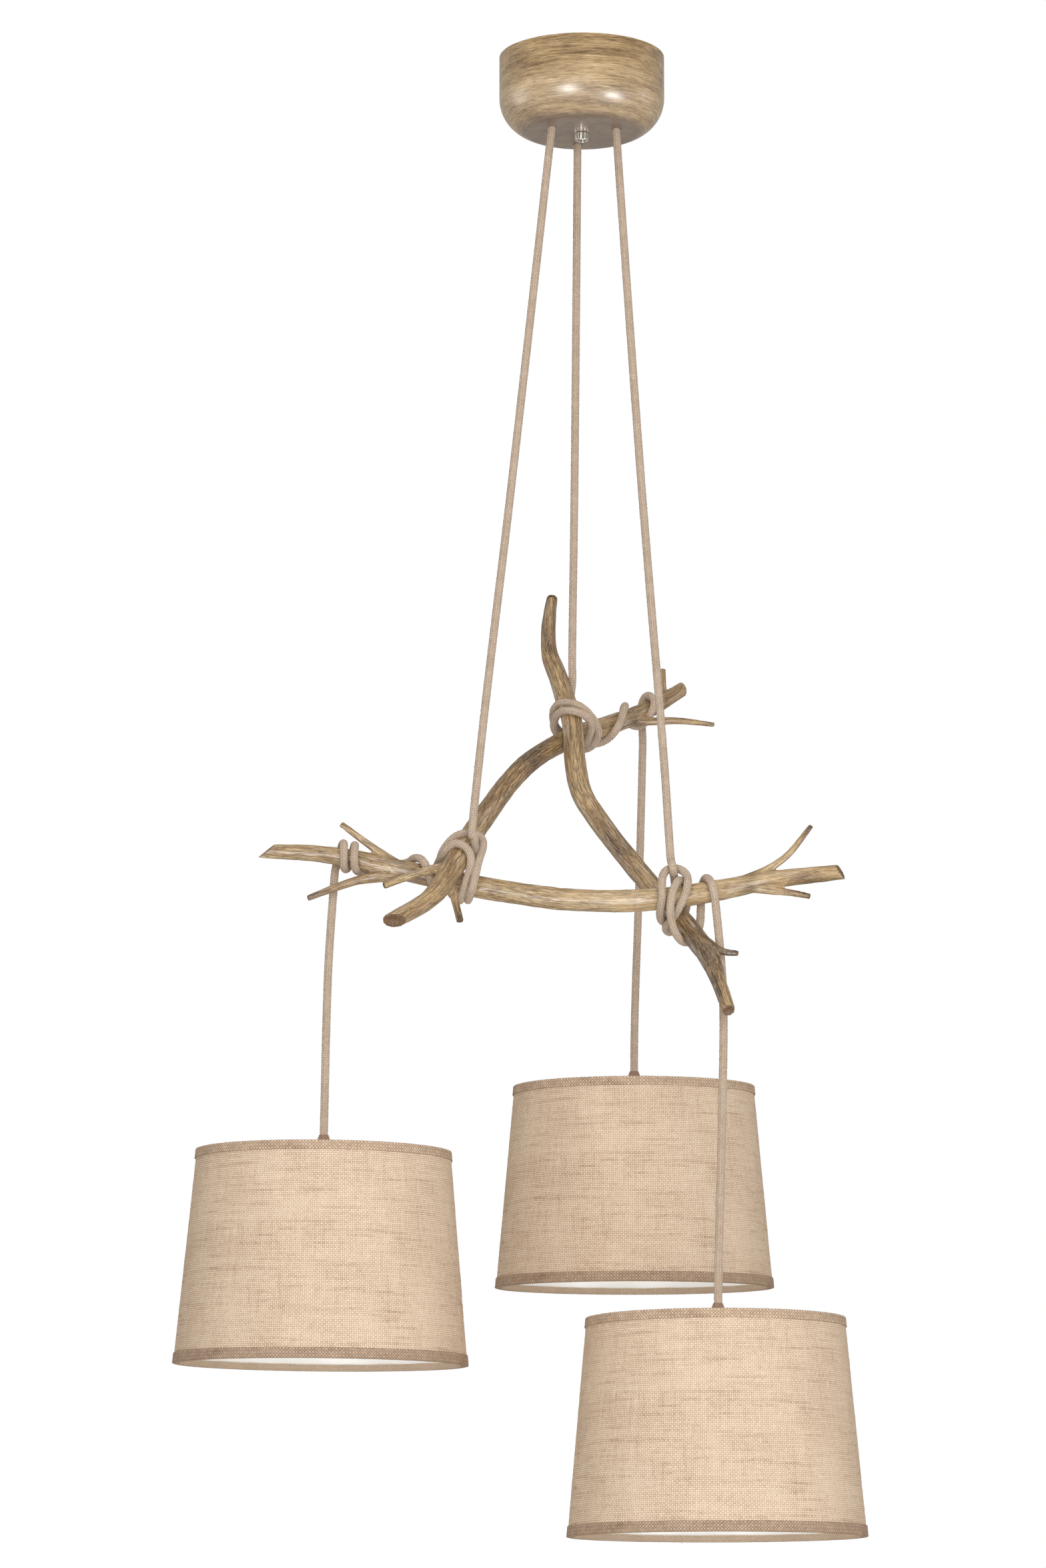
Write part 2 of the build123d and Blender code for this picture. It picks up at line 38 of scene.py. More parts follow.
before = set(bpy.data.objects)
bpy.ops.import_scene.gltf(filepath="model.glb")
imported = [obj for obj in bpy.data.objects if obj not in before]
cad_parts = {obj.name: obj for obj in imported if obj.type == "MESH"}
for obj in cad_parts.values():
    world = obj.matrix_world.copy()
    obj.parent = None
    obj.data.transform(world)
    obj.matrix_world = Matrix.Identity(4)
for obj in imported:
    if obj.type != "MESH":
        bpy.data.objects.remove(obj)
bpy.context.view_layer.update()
scene = bpy.context.scene
mm = 0.001
sides = ("left", "rear", "right")
print("frame loaded:", len(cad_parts), "parts")


# Camera, as the photograph was taken: a long lens from below, looking slightly up

camera = dict(place=(-46, -3737, -1204.5), pitch=9.54, lens=113.85, sensor=36)

lens = bpy.data.cameras.new("camera")
lens.lens = camera["lens"]
lens.sensor_width = camera["sensor"]
lens.sensor_fit = "AUTO"
lens.clip_end = 60
viewer = bpy.data.objects.new("camera", lens)
viewer.location = Vector(camera["place"]) * mm
viewer.rotation_euler = (radians(90 + camera["pitch"]), 0, 0)
scene.collection.objects.link(viewer)
scene.camera = viewer
scene.view_settings.view_transform = "Standard"


# Painting: a wrapped socket for sums, and one method for every other node


class Wire:
    def __init__(self, paint, socket):
        self.paint = paint
        self.socket = socket

    def sum(self, operation, *values):
        return self.paint.node("Math", dict(operation=operation), dict(enumerate(values)))

    def __add__(self, other):
        return self.sum("ADD", self, other)

    def __sub__(self, other):
        return self.sum("SUBTRACT", self, other)

    def __mul__(self, other):
        return self.sum("MULTIPLY", self, other)

    def __radd__(self, other):
        return self.sum("ADD", other, self)

    def __rsub__(self, other):
        return self.sum("SUBTRACT", other, self)

    def fraction(self):
        return self.sum("FRACT", self)

    def sine(self):
        return self.sum("SINE", self)

    def size(self):
        return self.sum("ABSOLUTE", self)

    def power(self, other):
        return self.sum("POWER", self, other)

    def most(self, other):
        return self.sum("MAXIMUM", self, other)


def tint(*screen):
    # screen values of 0 to 255 as the linear colour that Blender wants
    parts = [value / 255 for value in screen]
    return [value / 12.92 if value <= 0.04045 else ((value + 0.055) / 1.055) ** 2.4 for value in parts] + [1]


class Tree:
    # a node tree, with short ways to the nodes used most
    def __init__(self, tree):
        self.tree = tree

    def give(self, value, socket):
        if isinstance(value, Wire):
            self.tree.links.new(value.socket, socket)
        else:
            socket.default_value = value

    def node(self, kind, settings=None, inputs=None, output=0):
        made = self.tree.nodes.new(kind if "Node" in kind else "ShaderNode" + kind)
        for name, value in (settings or {}).items():
            setattr(made, name, value)
        for place, value in (inputs or {}).items():
            self.give(value, made.inputs[place])
        return Wire(self, made.outputs[output])

    def mix(self, factor, first, second):
        return self.node("Mix", dict(data_type="RGBA"), {0: factor, 6: first, 7: second}, 2)

    def spot(self, *parts):
        return self.node("CombineXYZ", {}, dict(enumerate(parts)))

    def span(self, value, low, high, start=0.0, end=1.0):
        return self.node("MapRange", {}, {"Value": value, 1: low, 2: high, 3: start, 4: end})


class Paint(Tree):
    def __init__(self, name, **constants):
        self.material = bpy.data.materials.new(name)
        self.material.use_nodes = True
        super().__init__(self.material.node_tree)
        self.skin = self.tree.nodes["Principled BSDF"]
        self.set(**constants)

    def set(self, **values):
        for name, value in values.items():
            self.give(value, self.skin.inputs[name.replace("_", " ")])

    def here(self):
        return self.node("TexCoord", output="Object")

    def chart(self):
        return self.node("UVMap", dict(uv_map="chart"))

    def stretched(self, vector, scale, turn=(0, 0, 0)):
        return self.node("Mapping", {}, {"Vector": vector, "Scale": scale, "Rotation": turn})

    def noise(self, vector, scale, detail=3, roughness=0.5):
        return self.node("TexNoise", {}, {"Vector": vector, "Scale": scale, "Detail": detail, "Roughness": roughness})

    def lines(self, noise, width):
        # 1 on the thin lines where a noise crosses its middle, 0 away from them
        return 1 - self.span((noise - 0.5).size(), 0.0, width)

    def apart(self, vector):
        return [self.node("SeparateXYZ", {}, {"Vector": vector}, axis) for axis in range(3)]

    def ramp(self, value, *stops):
        made = self.node("ValToRGB", {}, {0: value})
        places = made.socket.node.color_ramp.elements
        while len(places) < len(stops):
            places.new(1)
        for stop, (place, colour) in zip(places, stops):
            stop.position = place
            stop.color = colour
        return made

    def shades(self, value, look):
        # from a look's dark colour over its mid one to its light one
        return self.ramp(value, (0.0, look["dark"]), (0.5, look["mid"]), (1.0, look["light"]))

    def bump(self, height, strength, distance):
        self.set(Normal=self.node("Bump", {}, {"Height": height, "Strength": strength, "Distance": distance}))


# Making: meshes from points, turned shapes and tubes


def build(name, points, faces, material, charts=None, smooth=True):
    mesh = bpy.data.meshes.new(name)
    mesh.from_pydata([tuple(point) for point in np.asarray(points, float) * mm], [], faces)
    if charts is not None:
        layer = mesh.uv_layers.new(name="chart")
        layer.data.foreach_set("uv", np.asarray(charts, np.float32).ravel())
    mesh.materials.append(material)
    mesh.polygons.foreach_set("use_smooth", [smooth] * len(mesh.polygons))
    made = bpy.data.objects.new(name, mesh)
    scene.collection.objects.link(made)
    return made


def faced(made, merge=None, cuts=()):
    # closes seams and poles, saws at the cuts and turns every face outward
    work = bmesh.new()
    work.from_mesh(made.data)
    if merge:
        bmesh.ops.remove_doubles(work, verts=work.verts, dist=merge)
    for middle, facing in cuts:
        parts = work.verts[:] + work.edges[:] + work.faces[:]
        edges = bmesh.ops.bisect_plane(work, geom=parts, plane_co=middle * mm, plane_no=facing, clear_outer=True)["geom_cut"]
        bmesh.ops.holes_fill(work, edges=[part for part in edges if isinstance(part, bmesh.types.BMEdge)])
    bmesh.ops.recalc_face_normals(work, faces=work.faces)
    work.to_mesh(made.data)
    work.free()
    return made


def creased(made, angle=35):
    # keeps edges sharper than an angle crisp
    work = bmesh.new()
    work.from_mesh(made.data)
    for edge in work.edges:
        edge.smooth = len(edge.link_faces) == 2 and edge.calc_face_angle(0) < radians(angle)
    work.to_mesh(made.data)
    work.free()
    return made


def settled(made):
    # the object with its modifiers worked in
    seen = made.evaluated_get(bpy.context.evaluated_depsgraph_get())
    mesh = bpy.data.meshes.new_from_object(seen)
    made.modifiers.clear()
    made.data = mesh
    return made


def grid(rows, columns, closed):
    # quads over rows of points, each row a closed ring; closed joins the last row to the first
    faces = []
    for row in range(rows if closed else rows - 1):
        below = row * columns
        above = (row + 1) % rows * columns
        for column in range(columns):
            following = (column + 1) % columns
            faces.append((below + column, below + following, above + following, above + column))
    return faces


def leaning(top, lean):
    # a frame whose Z leans by so many degrees towards +X
    slope = radians(lean)
    return Matrix((
        (cos(slope), 0, sin(slope), top[0]),
        (0, 1, 0, top[1]),
        (-sin(slope), 0, cos(slope), top[2]),
        (0, 0, 0, 1),
    ))


def hung(side):
    # where a shade's cloth hangs: a little off its fitter and tipped to the front or back
    look = skinHangs[side]
    top, _ = shadePlaces[side]
    middle = Matrix.Translation((0, 0, -shadeLook["height"] / 2))
    tipped = middle @ Matrix.Rotation(radians(-look["tip"]), 4, "X") @ middle.inverted()
    return leaning(Vector(top) + Vector(look["shift"]), look["lean"]) @ tipped


def placed(points, place):
    # points in the outer frame
    turned = np.array(place.to_3x3())
    return np.asarray(points, float) @ turned.T + np.array(place.translation)


def turned(name, outline, place, material, around=96, closed=True, ripple=None):
    # an outline of radius and height spun about the frame's Z; ripple moves it in or out and up or down
    outline = np.asarray(outline, float)
    angles = np.arange(around) / around * 2 * pi
    radius = np.repeat(outline[:, :1], around, axis=1)
    height = np.repeat(outline[:, 1:2], around, axis=1)
    if ripple is not None:
        out, up = ripple(angles[None, :], outline[:, 1:2], outline[:, :1])
        radius = radius + out
        height = height + up
    spot = np.stack([radius * np.cos(angles), radius * np.sin(angles), height], axis=2).reshape(-1, 3)
    run = np.concatenate([[0], np.cumsum(np.linalg.norm(np.diff(outline, axis=0), axis=1))])
    last = np.linalg.norm(outline[0] - outline[-1])
    turn = 2 * pi * outline[:, 0].max() / around * mm
    charts = []
    rows = len(outline)
    for row in range(rows if closed else rows - 1):
        low = run[row] * mm
        high = (run[row + 1] if row + 1 < rows else run[row] + last) * mm
        for column in range(around):
            start, end = column * turn, (column + 1) * turn
            charts += [(start, low), (end, low), (end, high), (start, high)]
    return faced(build(name, placed(spot, place), grid(rows, around, closed), material, charts), merge=0.00001)


def eased(corners, reach, steps=4, closed=True):
    # an outline with each corner rounded over so much of its two edges
    corners = [Vector(corner) for corner in corners]
    path = []
    count = len(corners)
    for number, corner in enumerate(corners):
        if not closed and number in (0, count - 1):
            path.append(corner)
            continue
        before = corners[number - 1]
        after = corners[(number + 1) % count]
        start = corner.lerp(before, min(0.45, reach / max((before - corner).length, 1e-6)))
        end = corner.lerp(after, min(0.45, reach / max((after - corner).length, 1e-6)))
        for step in range(steps + 1):
            share = step / steps
            path.append(start.lerp(corner, share).lerp(corner.lerp(end, share), share))
    return [tuple(point) for point in path]


def even(points, step):
    # a line of points a step apart along a path
    points = np.asarray(points, float)
    run = np.concatenate([[0], np.cumsum(np.linalg.norm(np.diff(points, axis=0), axis=1))])
    count = max(int(run[-1] / step), 2)
    places = np.linspace(0, run[-1], count + 1)
    return np.stack([np.interp(places, run, points[:, axis]) for axis in range(points.shape[1])], axis=1), places


def carried(points, first=(0, 0, 1)):
    # a frame carried along a line without twist: its ways, and two ways across
    ways = np.gradient(points, axis=0)
    ways /= np.linalg.norm(ways, axis=1)[:, None]
    across = np.zeros_like(points)
    start = np.array(first, float)
    if abs(start @ ways[0]) > 0.9:
        start = np.array((1.0, 0, 0))
    for number, way in enumerate(ways):
        start = start - way * (start @ way)
        start /= np.linalg.norm(start)
        across[number] = start
    return ways, across, np.cross(ways, across)


def tube(name, points, radius, around, material, step=0.8, relief=None):
    # a round bar along a path; its chart runs along u in metres and once around v, and relief raises its skin
    line, run = even(points, step)
    ways, across, through = carried(line)
    angles = np.arange(around) / around * 2 * pi
    swell = np.zeros((len(line), around)) if relief is None else relief(run[:, None], angles[None, :] / (2 * pi))
    rings = line[:, None, :] + (radius + swell)[:, :, None] * (
        np.cos(angles)[None, :, None] * across[:, None, :] + np.sin(angles)[None, :, None] * through[:, None, :]
    )
    spots = rings.reshape(-1, 3)
    faces = grid(len(line), around, False)
    faces += [tuple(range(around - 1, -1, -1)), tuple(range(len(spots) - around, len(spots)))]
    charts = []
    for low, high in zip(run * mm, run[1:] * mm):
        for column in range(around):
            start, end = column / around, (column + 1) / around
            charts += [(low, start), (low, end), (high, end), (high, start)]
    charts += [(0, 0)] * around + [(run[-1] * mm, 0)] * around
    return faced(build(name, spots, faces, material, charts))


def joined(name, pieces):
    # several meshes as one piece, with the first one's name
    with bpy.context.temp_override(active_object=pieces[0], selected_editable_objects=pieces):
        bpy.ops.object.join()
    pieces[0].name = name
    return pieces[0]


class Pattern(Tree):
    # a node tree that repeats a small shape; its sizes are the tree's named inputs
    def __init__(self, name, **sizes):
        super().__init__(bpy.data.node_groups.new(name, "GeometryNodeTree"))
        kinds = {int: "NodeSocketInt", float: "NodeSocketFloat", tuple: "NodeSocketVector"}
        for way in ("OUTPUT", "INPUT"):
            self.tree.interface.new_socket("Geometry", in_out=way, socket_type="NodeSocketGeometry")
        self.sizes = {}
        for label, value in sizes.items():
            socket = self.tree.interface.new_socket(label, in_out="INPUT", socket_type=kinds[type(value)])
            self.sizes[socket.identifier] = value
        self.given = self.tree.nodes.new("NodeGroupInput")

    def take(self, label):
        return Wire(self, self.given.outputs[label])

    def vector(self, operation, first, second, output=0):
        return self.node("VectorMath", dict(operation=operation), {0: first, 1: second}, output)

    def aligned(self, vector, axis, pivot="AUTO", turn=(0, 0, 0)):
        return self.node("FunctionNodeAlignRotationToVector", dict(axis=axis, pivot_axis=pivot), {
            "Rotation": turn, "Vector": vector})

    def grow(self, name, base, material, points, shape, facing, scale=(1, 1, 1)):
        # the shape on every point, as one plain mesh
        spread = self.node("GeometryNodeInstanceOnPoints", {}, {
            "Points": points, "Instance": shape, "Rotation": facing, "Scale": scale})
        real = self.node("GeometryNodeRealizeInstances", {}, {0: spread})
        last = self.node("GeometryNodeSetMaterial", {}, {"Geometry": real, "Material": material})
        self.give(last, self.tree.nodes.new("NodeGroupOutput").inputs[0])
        made = bpy.data.objects.new(name, base)
        scene.collection.objects.link(made)
        worker = made.modifiers.new(name, "NODES")
        worker.node_group = self.tree
        for identifier, value in self.sizes.items():
            worker[identifier] = value
        return settled(made)


def grippedNut(name, look, place, material):
    # a nut turned to its outline, with the same small grip repeated around it
    top, end = look["top"], look["top"] - look["high"]
    corners = [(look["bore"], top), (look["radius"], top), (look["radius"], end), (look["bore"], end)]
    body = turned(name, eased(corners, look["chamfer"], 3), place, material, 72)
    pattern = Pattern(name + "Grips", Grips=look["grips"], Circle=look["circle"] * mm, Grip=look["grip"] * mm,
                      High=look["gripHigh"] * mm)
    ring = pattern.node("GeometryNodeMeshCircle", {}, {"Vertices": pattern.take("Grips"), "Radius": pattern.take("Circle")})
    rib = pattern.node("GeometryNodeMeshCylinder", {}, {
        "Vertices": 12, "Radius": pattern.take("Grip"), "Depth": pattern.take("High")})
    facing = pattern.aligned(pattern.node("GeometryNodeInputPosition"), "X")
    grips = pattern.grow(name + "Grips", bpy.data.meshes.new(name), material, ring, rib, facing)
    middle = place @ Vector((0, 0, (top + end) / 2))
    grips.data.transform(Matrix.Translation(middle * mm) @ place.to_3x3().to_4x4())
    return creased(joined(name, [body, grips]), 40)


def slubPiece(side, base, place):
    # thick places in the threads, scattered over the outside of the cloth and lying along it
    look = slubLook
    pattern = Pattern("slubs_" + side, Density=look["density"], Thick=look["thick"] * mm, Long=look["long"],
                      Middle=tuple(place.translation * mm), Seed=look["seed"] + len(side))
    outward = pattern.vector("SUBTRACT", pattern.node("GeometryNodeInputPosition"), pattern.take("Middle"))
    outward = pattern.vector("MULTIPLY", outward, (1, 1, 0))
    outer = pattern.vector("DOT_PRODUCT", outward, pattern.node("GeometryNodeInputNormal"), 1)
    points = pattern.node("GeometryNodeDistributePointsOnFaces", {}, {
        "Mesh": pattern.take("Geometry"), "Selection": outer, "Density": pattern.take("Density"), "Seed": pattern.take("Seed")})
    facing = Wire(pattern, points.socket.node.outputs["Normal"])
    level = pattern.vector("CROSS_PRODUCT", (0, 0, 1), facing)
    upright = pattern.node("FunctionNodeRandomValue", dict(data_type="INT"), {"Min": 0, "Max": 1}, 2)
    run = pattern.node("Mix", dict(data_type="VECTOR"), {0: upright, 4: level, 5: (0, 0, 1)}, 1)
    turn = pattern.aligned(run, "X", "Z", pattern.aligned(facing, "Z"))
    size = pattern.node("FunctionNodeRandomValue", dict(data_type="FLOAT_VECTOR"), {0: (0.35, 0.7, 0.5), 1: (1, 1.2, 0.9)})
    size = pattern.vector("MULTIPLY", size, pattern.spot(pattern.take("Long"), 1, 1))
    thread = pattern.node("GeometryNodeMeshUVSphere", {}, {"Segments": 6, "Rings": 4, "Radius": pattern.take("Thick")})
    return pattern.grow("slubs_" + side, base, slub, points, thread, turn, size)


def dressed(made, body, slot, *nodes):
    if nodes:
        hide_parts(*nodes)
    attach(made, body)
    return made


# Finishes


def weave(paint, across, up, warpPitch, weftPitch, seed):
    # plain weave: the height of the threads, and how light each thread is
    drift = paint.noise(paint.spot(across * 60, up * 9, seed), 1, 2)
    wander = paint.noise(paint.spot(across * 9, up * 60, seed + 3), 1, 2)
    warp = across * (1000 / warpPitch) + drift * 1.3
    weft = up * (1000 / weftPitch) + wander * 1.5
    warpWave = (warp * pi).sine()
    weftWave = (weft * pi).sine()
    over = warpWave * weftWave
    upright = warpWave.size().power(0.7) * (0.62 + over * 0.38)
    level = weftWave.size().power(0.7) * (0.62 - over * 0.38)
    rowOf = weft - weft.fraction()
    columnOf = warp - warp.fraction()
    rows = paint.noise(paint.spot(across * 20, rowOf * 7.3, seed), 1, 2)
    columns = paint.noise(paint.spot(columnOf * 5.7, up * 22, seed + 7), 1, 2)
    cells = paint.noise(paint.spot(columnOf * 3.7, rowOf * 4.3, seed + 9), 1, 1)
    return upright.most(level) + over * 0.16 + (cells - 0.5) * 0.5, rows, columns


def clothPaint():
    look = dict(light=tint(255, 240, 218), mid=tint(221, 195, 169), dark=tint(138, 106, 80), stain=tint(126, 96, 70),
                warpPitch=1.6, weftPitch=1.44)
    paint = Paint("shadeCloth", Roughness=0.95, Specular_IOR_Level=0.1)
    across, up, _ = paint.apart(paint.chart())
    height, rows, columns = weave(paint, across, up, look["warpPitch"], look["weftPitch"], 0.0)
    mottle = paint.noise(paint.spot(across * 26, up * 34), 1, 4, 0.6)
    slub = paint.noise(paint.spot(across * 46, up * 640), 1, 3, 0.55)
    speck = paint.noise(paint.spot(across * 190, up * 320), 1, 2, 0.5)
    thin = (1 - paint.span(rows, 0.26, 0.42)) * 0.15 + (1 - paint.span(columns, 0.26, 0.40)) * 0.07
    # the threads' height also paints the raised threads lighter and the gaps between them darker: painted light and
    # shade on the weave
    tone = height * 1.0 + rows * 0.34 + columns * 0.2 + mottle * 0.34 - thin
    colour = paint.shades(paint.span(tone, 0.42, 1.5), look)
    streak = (paint.span(slub, 0.70, 0.80) * 0.4).most(paint.span(speck, 0.76, 0.82) * 0.7)
    paint.set(Base_Color=paint.mix(streak, colour, look["stain"]))
    paint.bump(height * 0.8 + rows * 0.4 + slub * 0.3, 0.5, 0.0005)
    return paint.material


def tapePaint(name, strength):
    # the same cloth cut on the bias; its inner fold is painted paler, a painted light on the tape's inside
    look = dict(light=tint(255, 232, 208), mid=tint(202, 176, 151), dark=tint(114, 88, 70), fold=tint(246, 222, 198),
                pitch=1.7, bias=0.7071)
    paint = Paint(name, Roughness=0.95, Specular_IOR_Level=0.1)
    across, up, _ = paint.apart(paint.chart())
    height, rows, columns = weave(
        paint, (across + up) * look["bias"], (up - across) * look["bias"], look["pitch"], look["pitch"], 5.0)
    mottle = paint.noise(paint.spot(across * 40, up * 120), 1, 4, 0.6)
    # the threads' height also paints the raised threads lighter and the gaps darker: painted light and shade on the
    # weave
    tone = height * 0.85 + rows * 0.25 + columns * 0.25 + mottle * 0.5
    colour = paint.shades(paint.span(tone, 0.5, 1.5), look)
    colour = paint.mix(1 - strength, colour, look["dark"])
    # the band of the inner fold: painted light, paler than the rest of the tape
    inner = paint.span(up, 0.0155, 0.016) * (1 - paint.span(up, 0.0212, 0.022))
    paint.set(Base_Color=paint.mix(inner * 0.42, colour, look["fold"]))
    paint.bump(height + mottle * 0.3, 0.6, 0.0006)
    return paint.material


def liningPaint():
    # a white film that glows by itself: painted light standing in for the room's light coming through the cloth
    paint = Paint("liningFilm", Roughness=0.45, Specular_IOR_Level=0.4, Emission_Strength=0.34)
    fine = paint.noise(paint.stretched(paint.chart(), (300, 300, 1)), 1, 2)
    white = paint.mix(fine, tint(228, 227, 224), tint(238, 238, 236))
    paint.set(Base_Color=white, Emission_Color=white)
    return paint.material


def cordPaint():
    look = dict(light=tint(246, 228, 208), mid=tint(202, 180, 158), dark=tint(122, 99, 82))
    paint = Paint("cordCloth", Roughness=0.88, Specular_IOR_Level=0.25, Sheen_Weight=0.2)
    along, around, _ = paint.apart(paint.chart())
    lane = (around * cordLook["wales"]).fraction()
    lean = (lane - 0.5).size() * 2
    phase = along * (1000 / cordLook["stitch"]) + lean * cordLook["slant"]
    stitch = (phase * (2 * pi)).sine() * 0.5 + 0.5
    groove = 1 - (lane * 2 - 1).size().power(3)
    fuzz = paint.noise(paint.spot(along * 1500, around * 18), 1, 3, 0.6)
    slow = paint.noise(paint.spot(along * 120, around * 2), 1, 2)
    # raised stitches painted lighter and the grooves between the lanes darker: painted light and shade on the knit
    tone = stitch * 0.34 + groove * 0.2 + fuzz * 1.15 + slow * 0.3
    paint.set(Base_Color=paint.shades(paint.span(tone, 0.55, 1.45), look))
    paint.bump(stitch * groove + fuzz * 0.4, 0.7, 0.0006)
    return paint.material


def branchPaint():
    look = dict(pale=tint(238, 214, 172), tan=tint(194, 162, 114), brown=tint(138, 106, 66), deep=tint(62, 40, 20),
                grey=tint(222, 213, 203), mauve=tint(150, 134, 126), endDark=tint(56, 40, 26), endPale=tint(150, 114, 76))
    paint = Paint("branchWood", Specular_IOR_Level=0.4, Coat_Roughness=0.36)
    grain = paint.node("Attribute", dict(attribute_name="grain"), output="Vector")
    cut, knot, toneShift = (paint.node("Attribute", dict(attribute_name=name), output="Fac") for name in ("cut", "knot", "toneShift"))

    def drawn(along, across, detail, roughness):
        # noise drawn out along the grain: so many waves in a metre along it and across it
        return paint.noise(paint.stretched(grain, (along, across, across)), 1, detail, roughness)

    streaks = drawn(44, 1250, 4, 0.6)
    fine = drawn(150, 2600, 3, 0.7)
    bands = drawn(18, 260, 4, 0.6)
    blotch = drawn(16, 60, 4, 0.55)
    groove = paint.lines(drawn(26, 520, 3, 0.5), 0.05)
    dark = paint.lines(drawn(64, 780, 2, 0.5), 0.07)
    pale = paint.lines(drawn(84, 940, 2, 0.5), 0.06)
    rubbed = paint.span(drawn(22, 130, 5, 0.6), 0.54, 0.66)
    # mauve-grey patches scattered along the grain: painted shade
    paintedShade = paint.span(drawn(13, 48, 3, 0.5), 0.54, 0.68)
    # toneShift darkens and mottles the wood where it is above zero and lightens it where it is below
    tone = streaks * 0.85 + fine * 0.75 + bands * 0.75 + blotch * 0.55 - toneShift * paint.span(blotch, 0.36, 0.62, 1.5, 0.5) * 0.32
    wood = paint.ramp(
        paint.span(tone, 1.06, 1.78), (0.0, look["deep"]), (0.3, look["brown"]), (0.6, look["tan"]), (1.0, look["pale"]))
    end = paint.mix(paint.span(fine * 0.6 + streaks * 0.6, 0.45, 0.75), look["endDark"], look["endPale"])
    layers = (
        (paintedShade * 0.12, look["mauve"]),
        (rubbed * paint.span(streaks, 0.4, 0.56) * (0.36 + toneShift.size() * 0.4), look["grey"]),
        (pale * 0.34, look["pale"]),
        (dark * paint.span(blotch, 0.3, 0.56, 0.25, 0.6), look["deep"]),
        (groove * paint.span(blotch, 0.4, 0.6) * 0.7, look["deep"]),
        (knot * 0.6, look["deep"]),
        (cut * 0.92, end),
    )
    for much, colour in layers:
        wood = paint.mix(much, wood, colour)
    paint.set(Base_Color=wood, Roughness=paint.span(blotch, 0.3, 0.7, 0.42, 0.58), Coat_Weight=(1 - cut) * 0.6)
    paint.bump(streaks * 0.7 + fine * 0.4 - groove * 0.5, 0.45, 0.0006)
    return paint.material


def canopyPaint():
    look = dict(light=tint(236, 212, 172), mid=tint(190, 160, 114), dark=tint(104, 76, 38), line=tint(92, 66, 32),
                paintedLowLight=tint(222, 206, 190), floor=tint(100, 84, 80), floorHeight=-0.0602)
    paint = Paint("canopySkin", Roughness=0.42, Specular_IOR_Level=0.4, Coat_Weight=0.85, Coat_Roughness=0.3)
    spot = paint.here()
    up = paint.apart(spot)[2]

    def layered(across, high, detail, roughness, turn=(0, 0, 0)):
        # noise in flat layers: so many waves in a metre across and upwards
        return paint.noise(paint.stretched(spot, (across, across, high), turn), 1, detail, roughness)

    lines = layered(60, 1100, 3, 0.55, (0.02, 0.03, 0))
    bands = layered(13, 230, 4, 0.6, (0.03, -0.02, 0))
    pores = layered(190, 2600, 3, 0.7)
    clouds = layered(30, 46, 3, 0.5)
    dark = paint.lines(layered(48, 840, 2, 0.5, (0.02, -0.03, 0)), 0.06)
    pale = paint.lines(layered(70, 960, 2, 0.5, (-0.02, 0.02, 0)), 0.05)
    # the wall is painted darker towards its top: painted shade
    tone = lines * 0.9 + bands * 0.9 + pores * 0.75 + clouds * 0.6 - paint.span(up, -0.034, -0.006) * 0.10
    colour = paint.shades(paint.span(tone, 1.2, 1.95), look)
    # the lower bend is painted paler: painted light from below
    colour = paint.mix((1 - paint.span(up, -0.046, -0.018)) * 0.16, colour, look["paintedLowLight"])
    colour = paint.mix(pale * 0.2, colour, look["light"])
    colour = paint.mix(dark * 0.42, colour, look["line"])
    # the flat bottom face is painted darker and greyer: painted shade and a painted reflection of the dim room below
    low = 1 - paint.span(up, look["floorHeight"], look["floorHeight"] + 0.003)
    paint.set(Base_Color=paint.mix(low * 0.85, colour, paint.mix(0.82, colour, look["floor"])))
    paint.bump(lines + pores * 0.5, 0.04, 0.0003)
    return paint.material


def plainPaint(name, colour, roughness, metallic=0.0, coat=0.0, speckle=0.06, scale=400):
    paint = Paint(name, Metallic=metallic, Coat_Weight=coat)
    spots = paint.noise(paint.here(), scale, 3, 0.6)
    darker = [value * (1 - speckle * 2) for value in colour[:3]] + [1]
    paint.set(Base_Color=paint.mix(spots, darker, colour),
              Roughness=paint.span(spots, 0.2, 0.8, roughness * 0.85, roughness * 1.15))
    return paint.material


cordLook = dict(radius=3.0, relief=0.14, around=24, step=0.55, wales=9, stitch=1.8, slant=0.8, rough=0.6,
                headGap=0.6, bendFor=24)

cloth = clothPaint()
tape = tapePaint("trimTape", 0.93)
lowTape = tapePaint("lowTrimTape", 0.68)
film = liningPaint()
knit = cordPaint()
wood = branchPaint()
veneer = canopyPaint()
slub = plainPaint("slubThread", tint(236, 215, 190), 0.95, speckle=0.1, scale=260)
zinc = plainPaint("zincSteel", tint(176, 178, 180), 0.38, metallic=1.0)
polished = plainPaint("nutMetal", tint(206, 200, 192), 0.24, metallic=1.0, speckle=0.02)
blockWhite = plainPaint("blockPlastic", tint(226, 224, 216), 0.5)
whiteWire = plainPaint("whiteWire", tint(232, 231, 227), 0.35)
holderWhite = plainPaint("holderPlastic", tint(230, 228, 222), 0.4)
ceramic = plainPaint("insertCeramic", tint(236, 234, 228), 0.3)
nickel = plainPaint("lampMetal", tint(196, 194, 188), 0.3, metallic=1.0)
opal = plainPaint("lampGlass", tint(240, 238, 232), 0.14, coat=0.4, speckle=0.01)
capBrown = plainPaint("capPlastic", tint(158, 126, 106), 0.42, coat=0.3)
print("finishes ready")


# Cords. Each leaves the canopy, runs to its lashing and winds along the branches in one
# length; a second length hangs from the lashing's end to its shade.

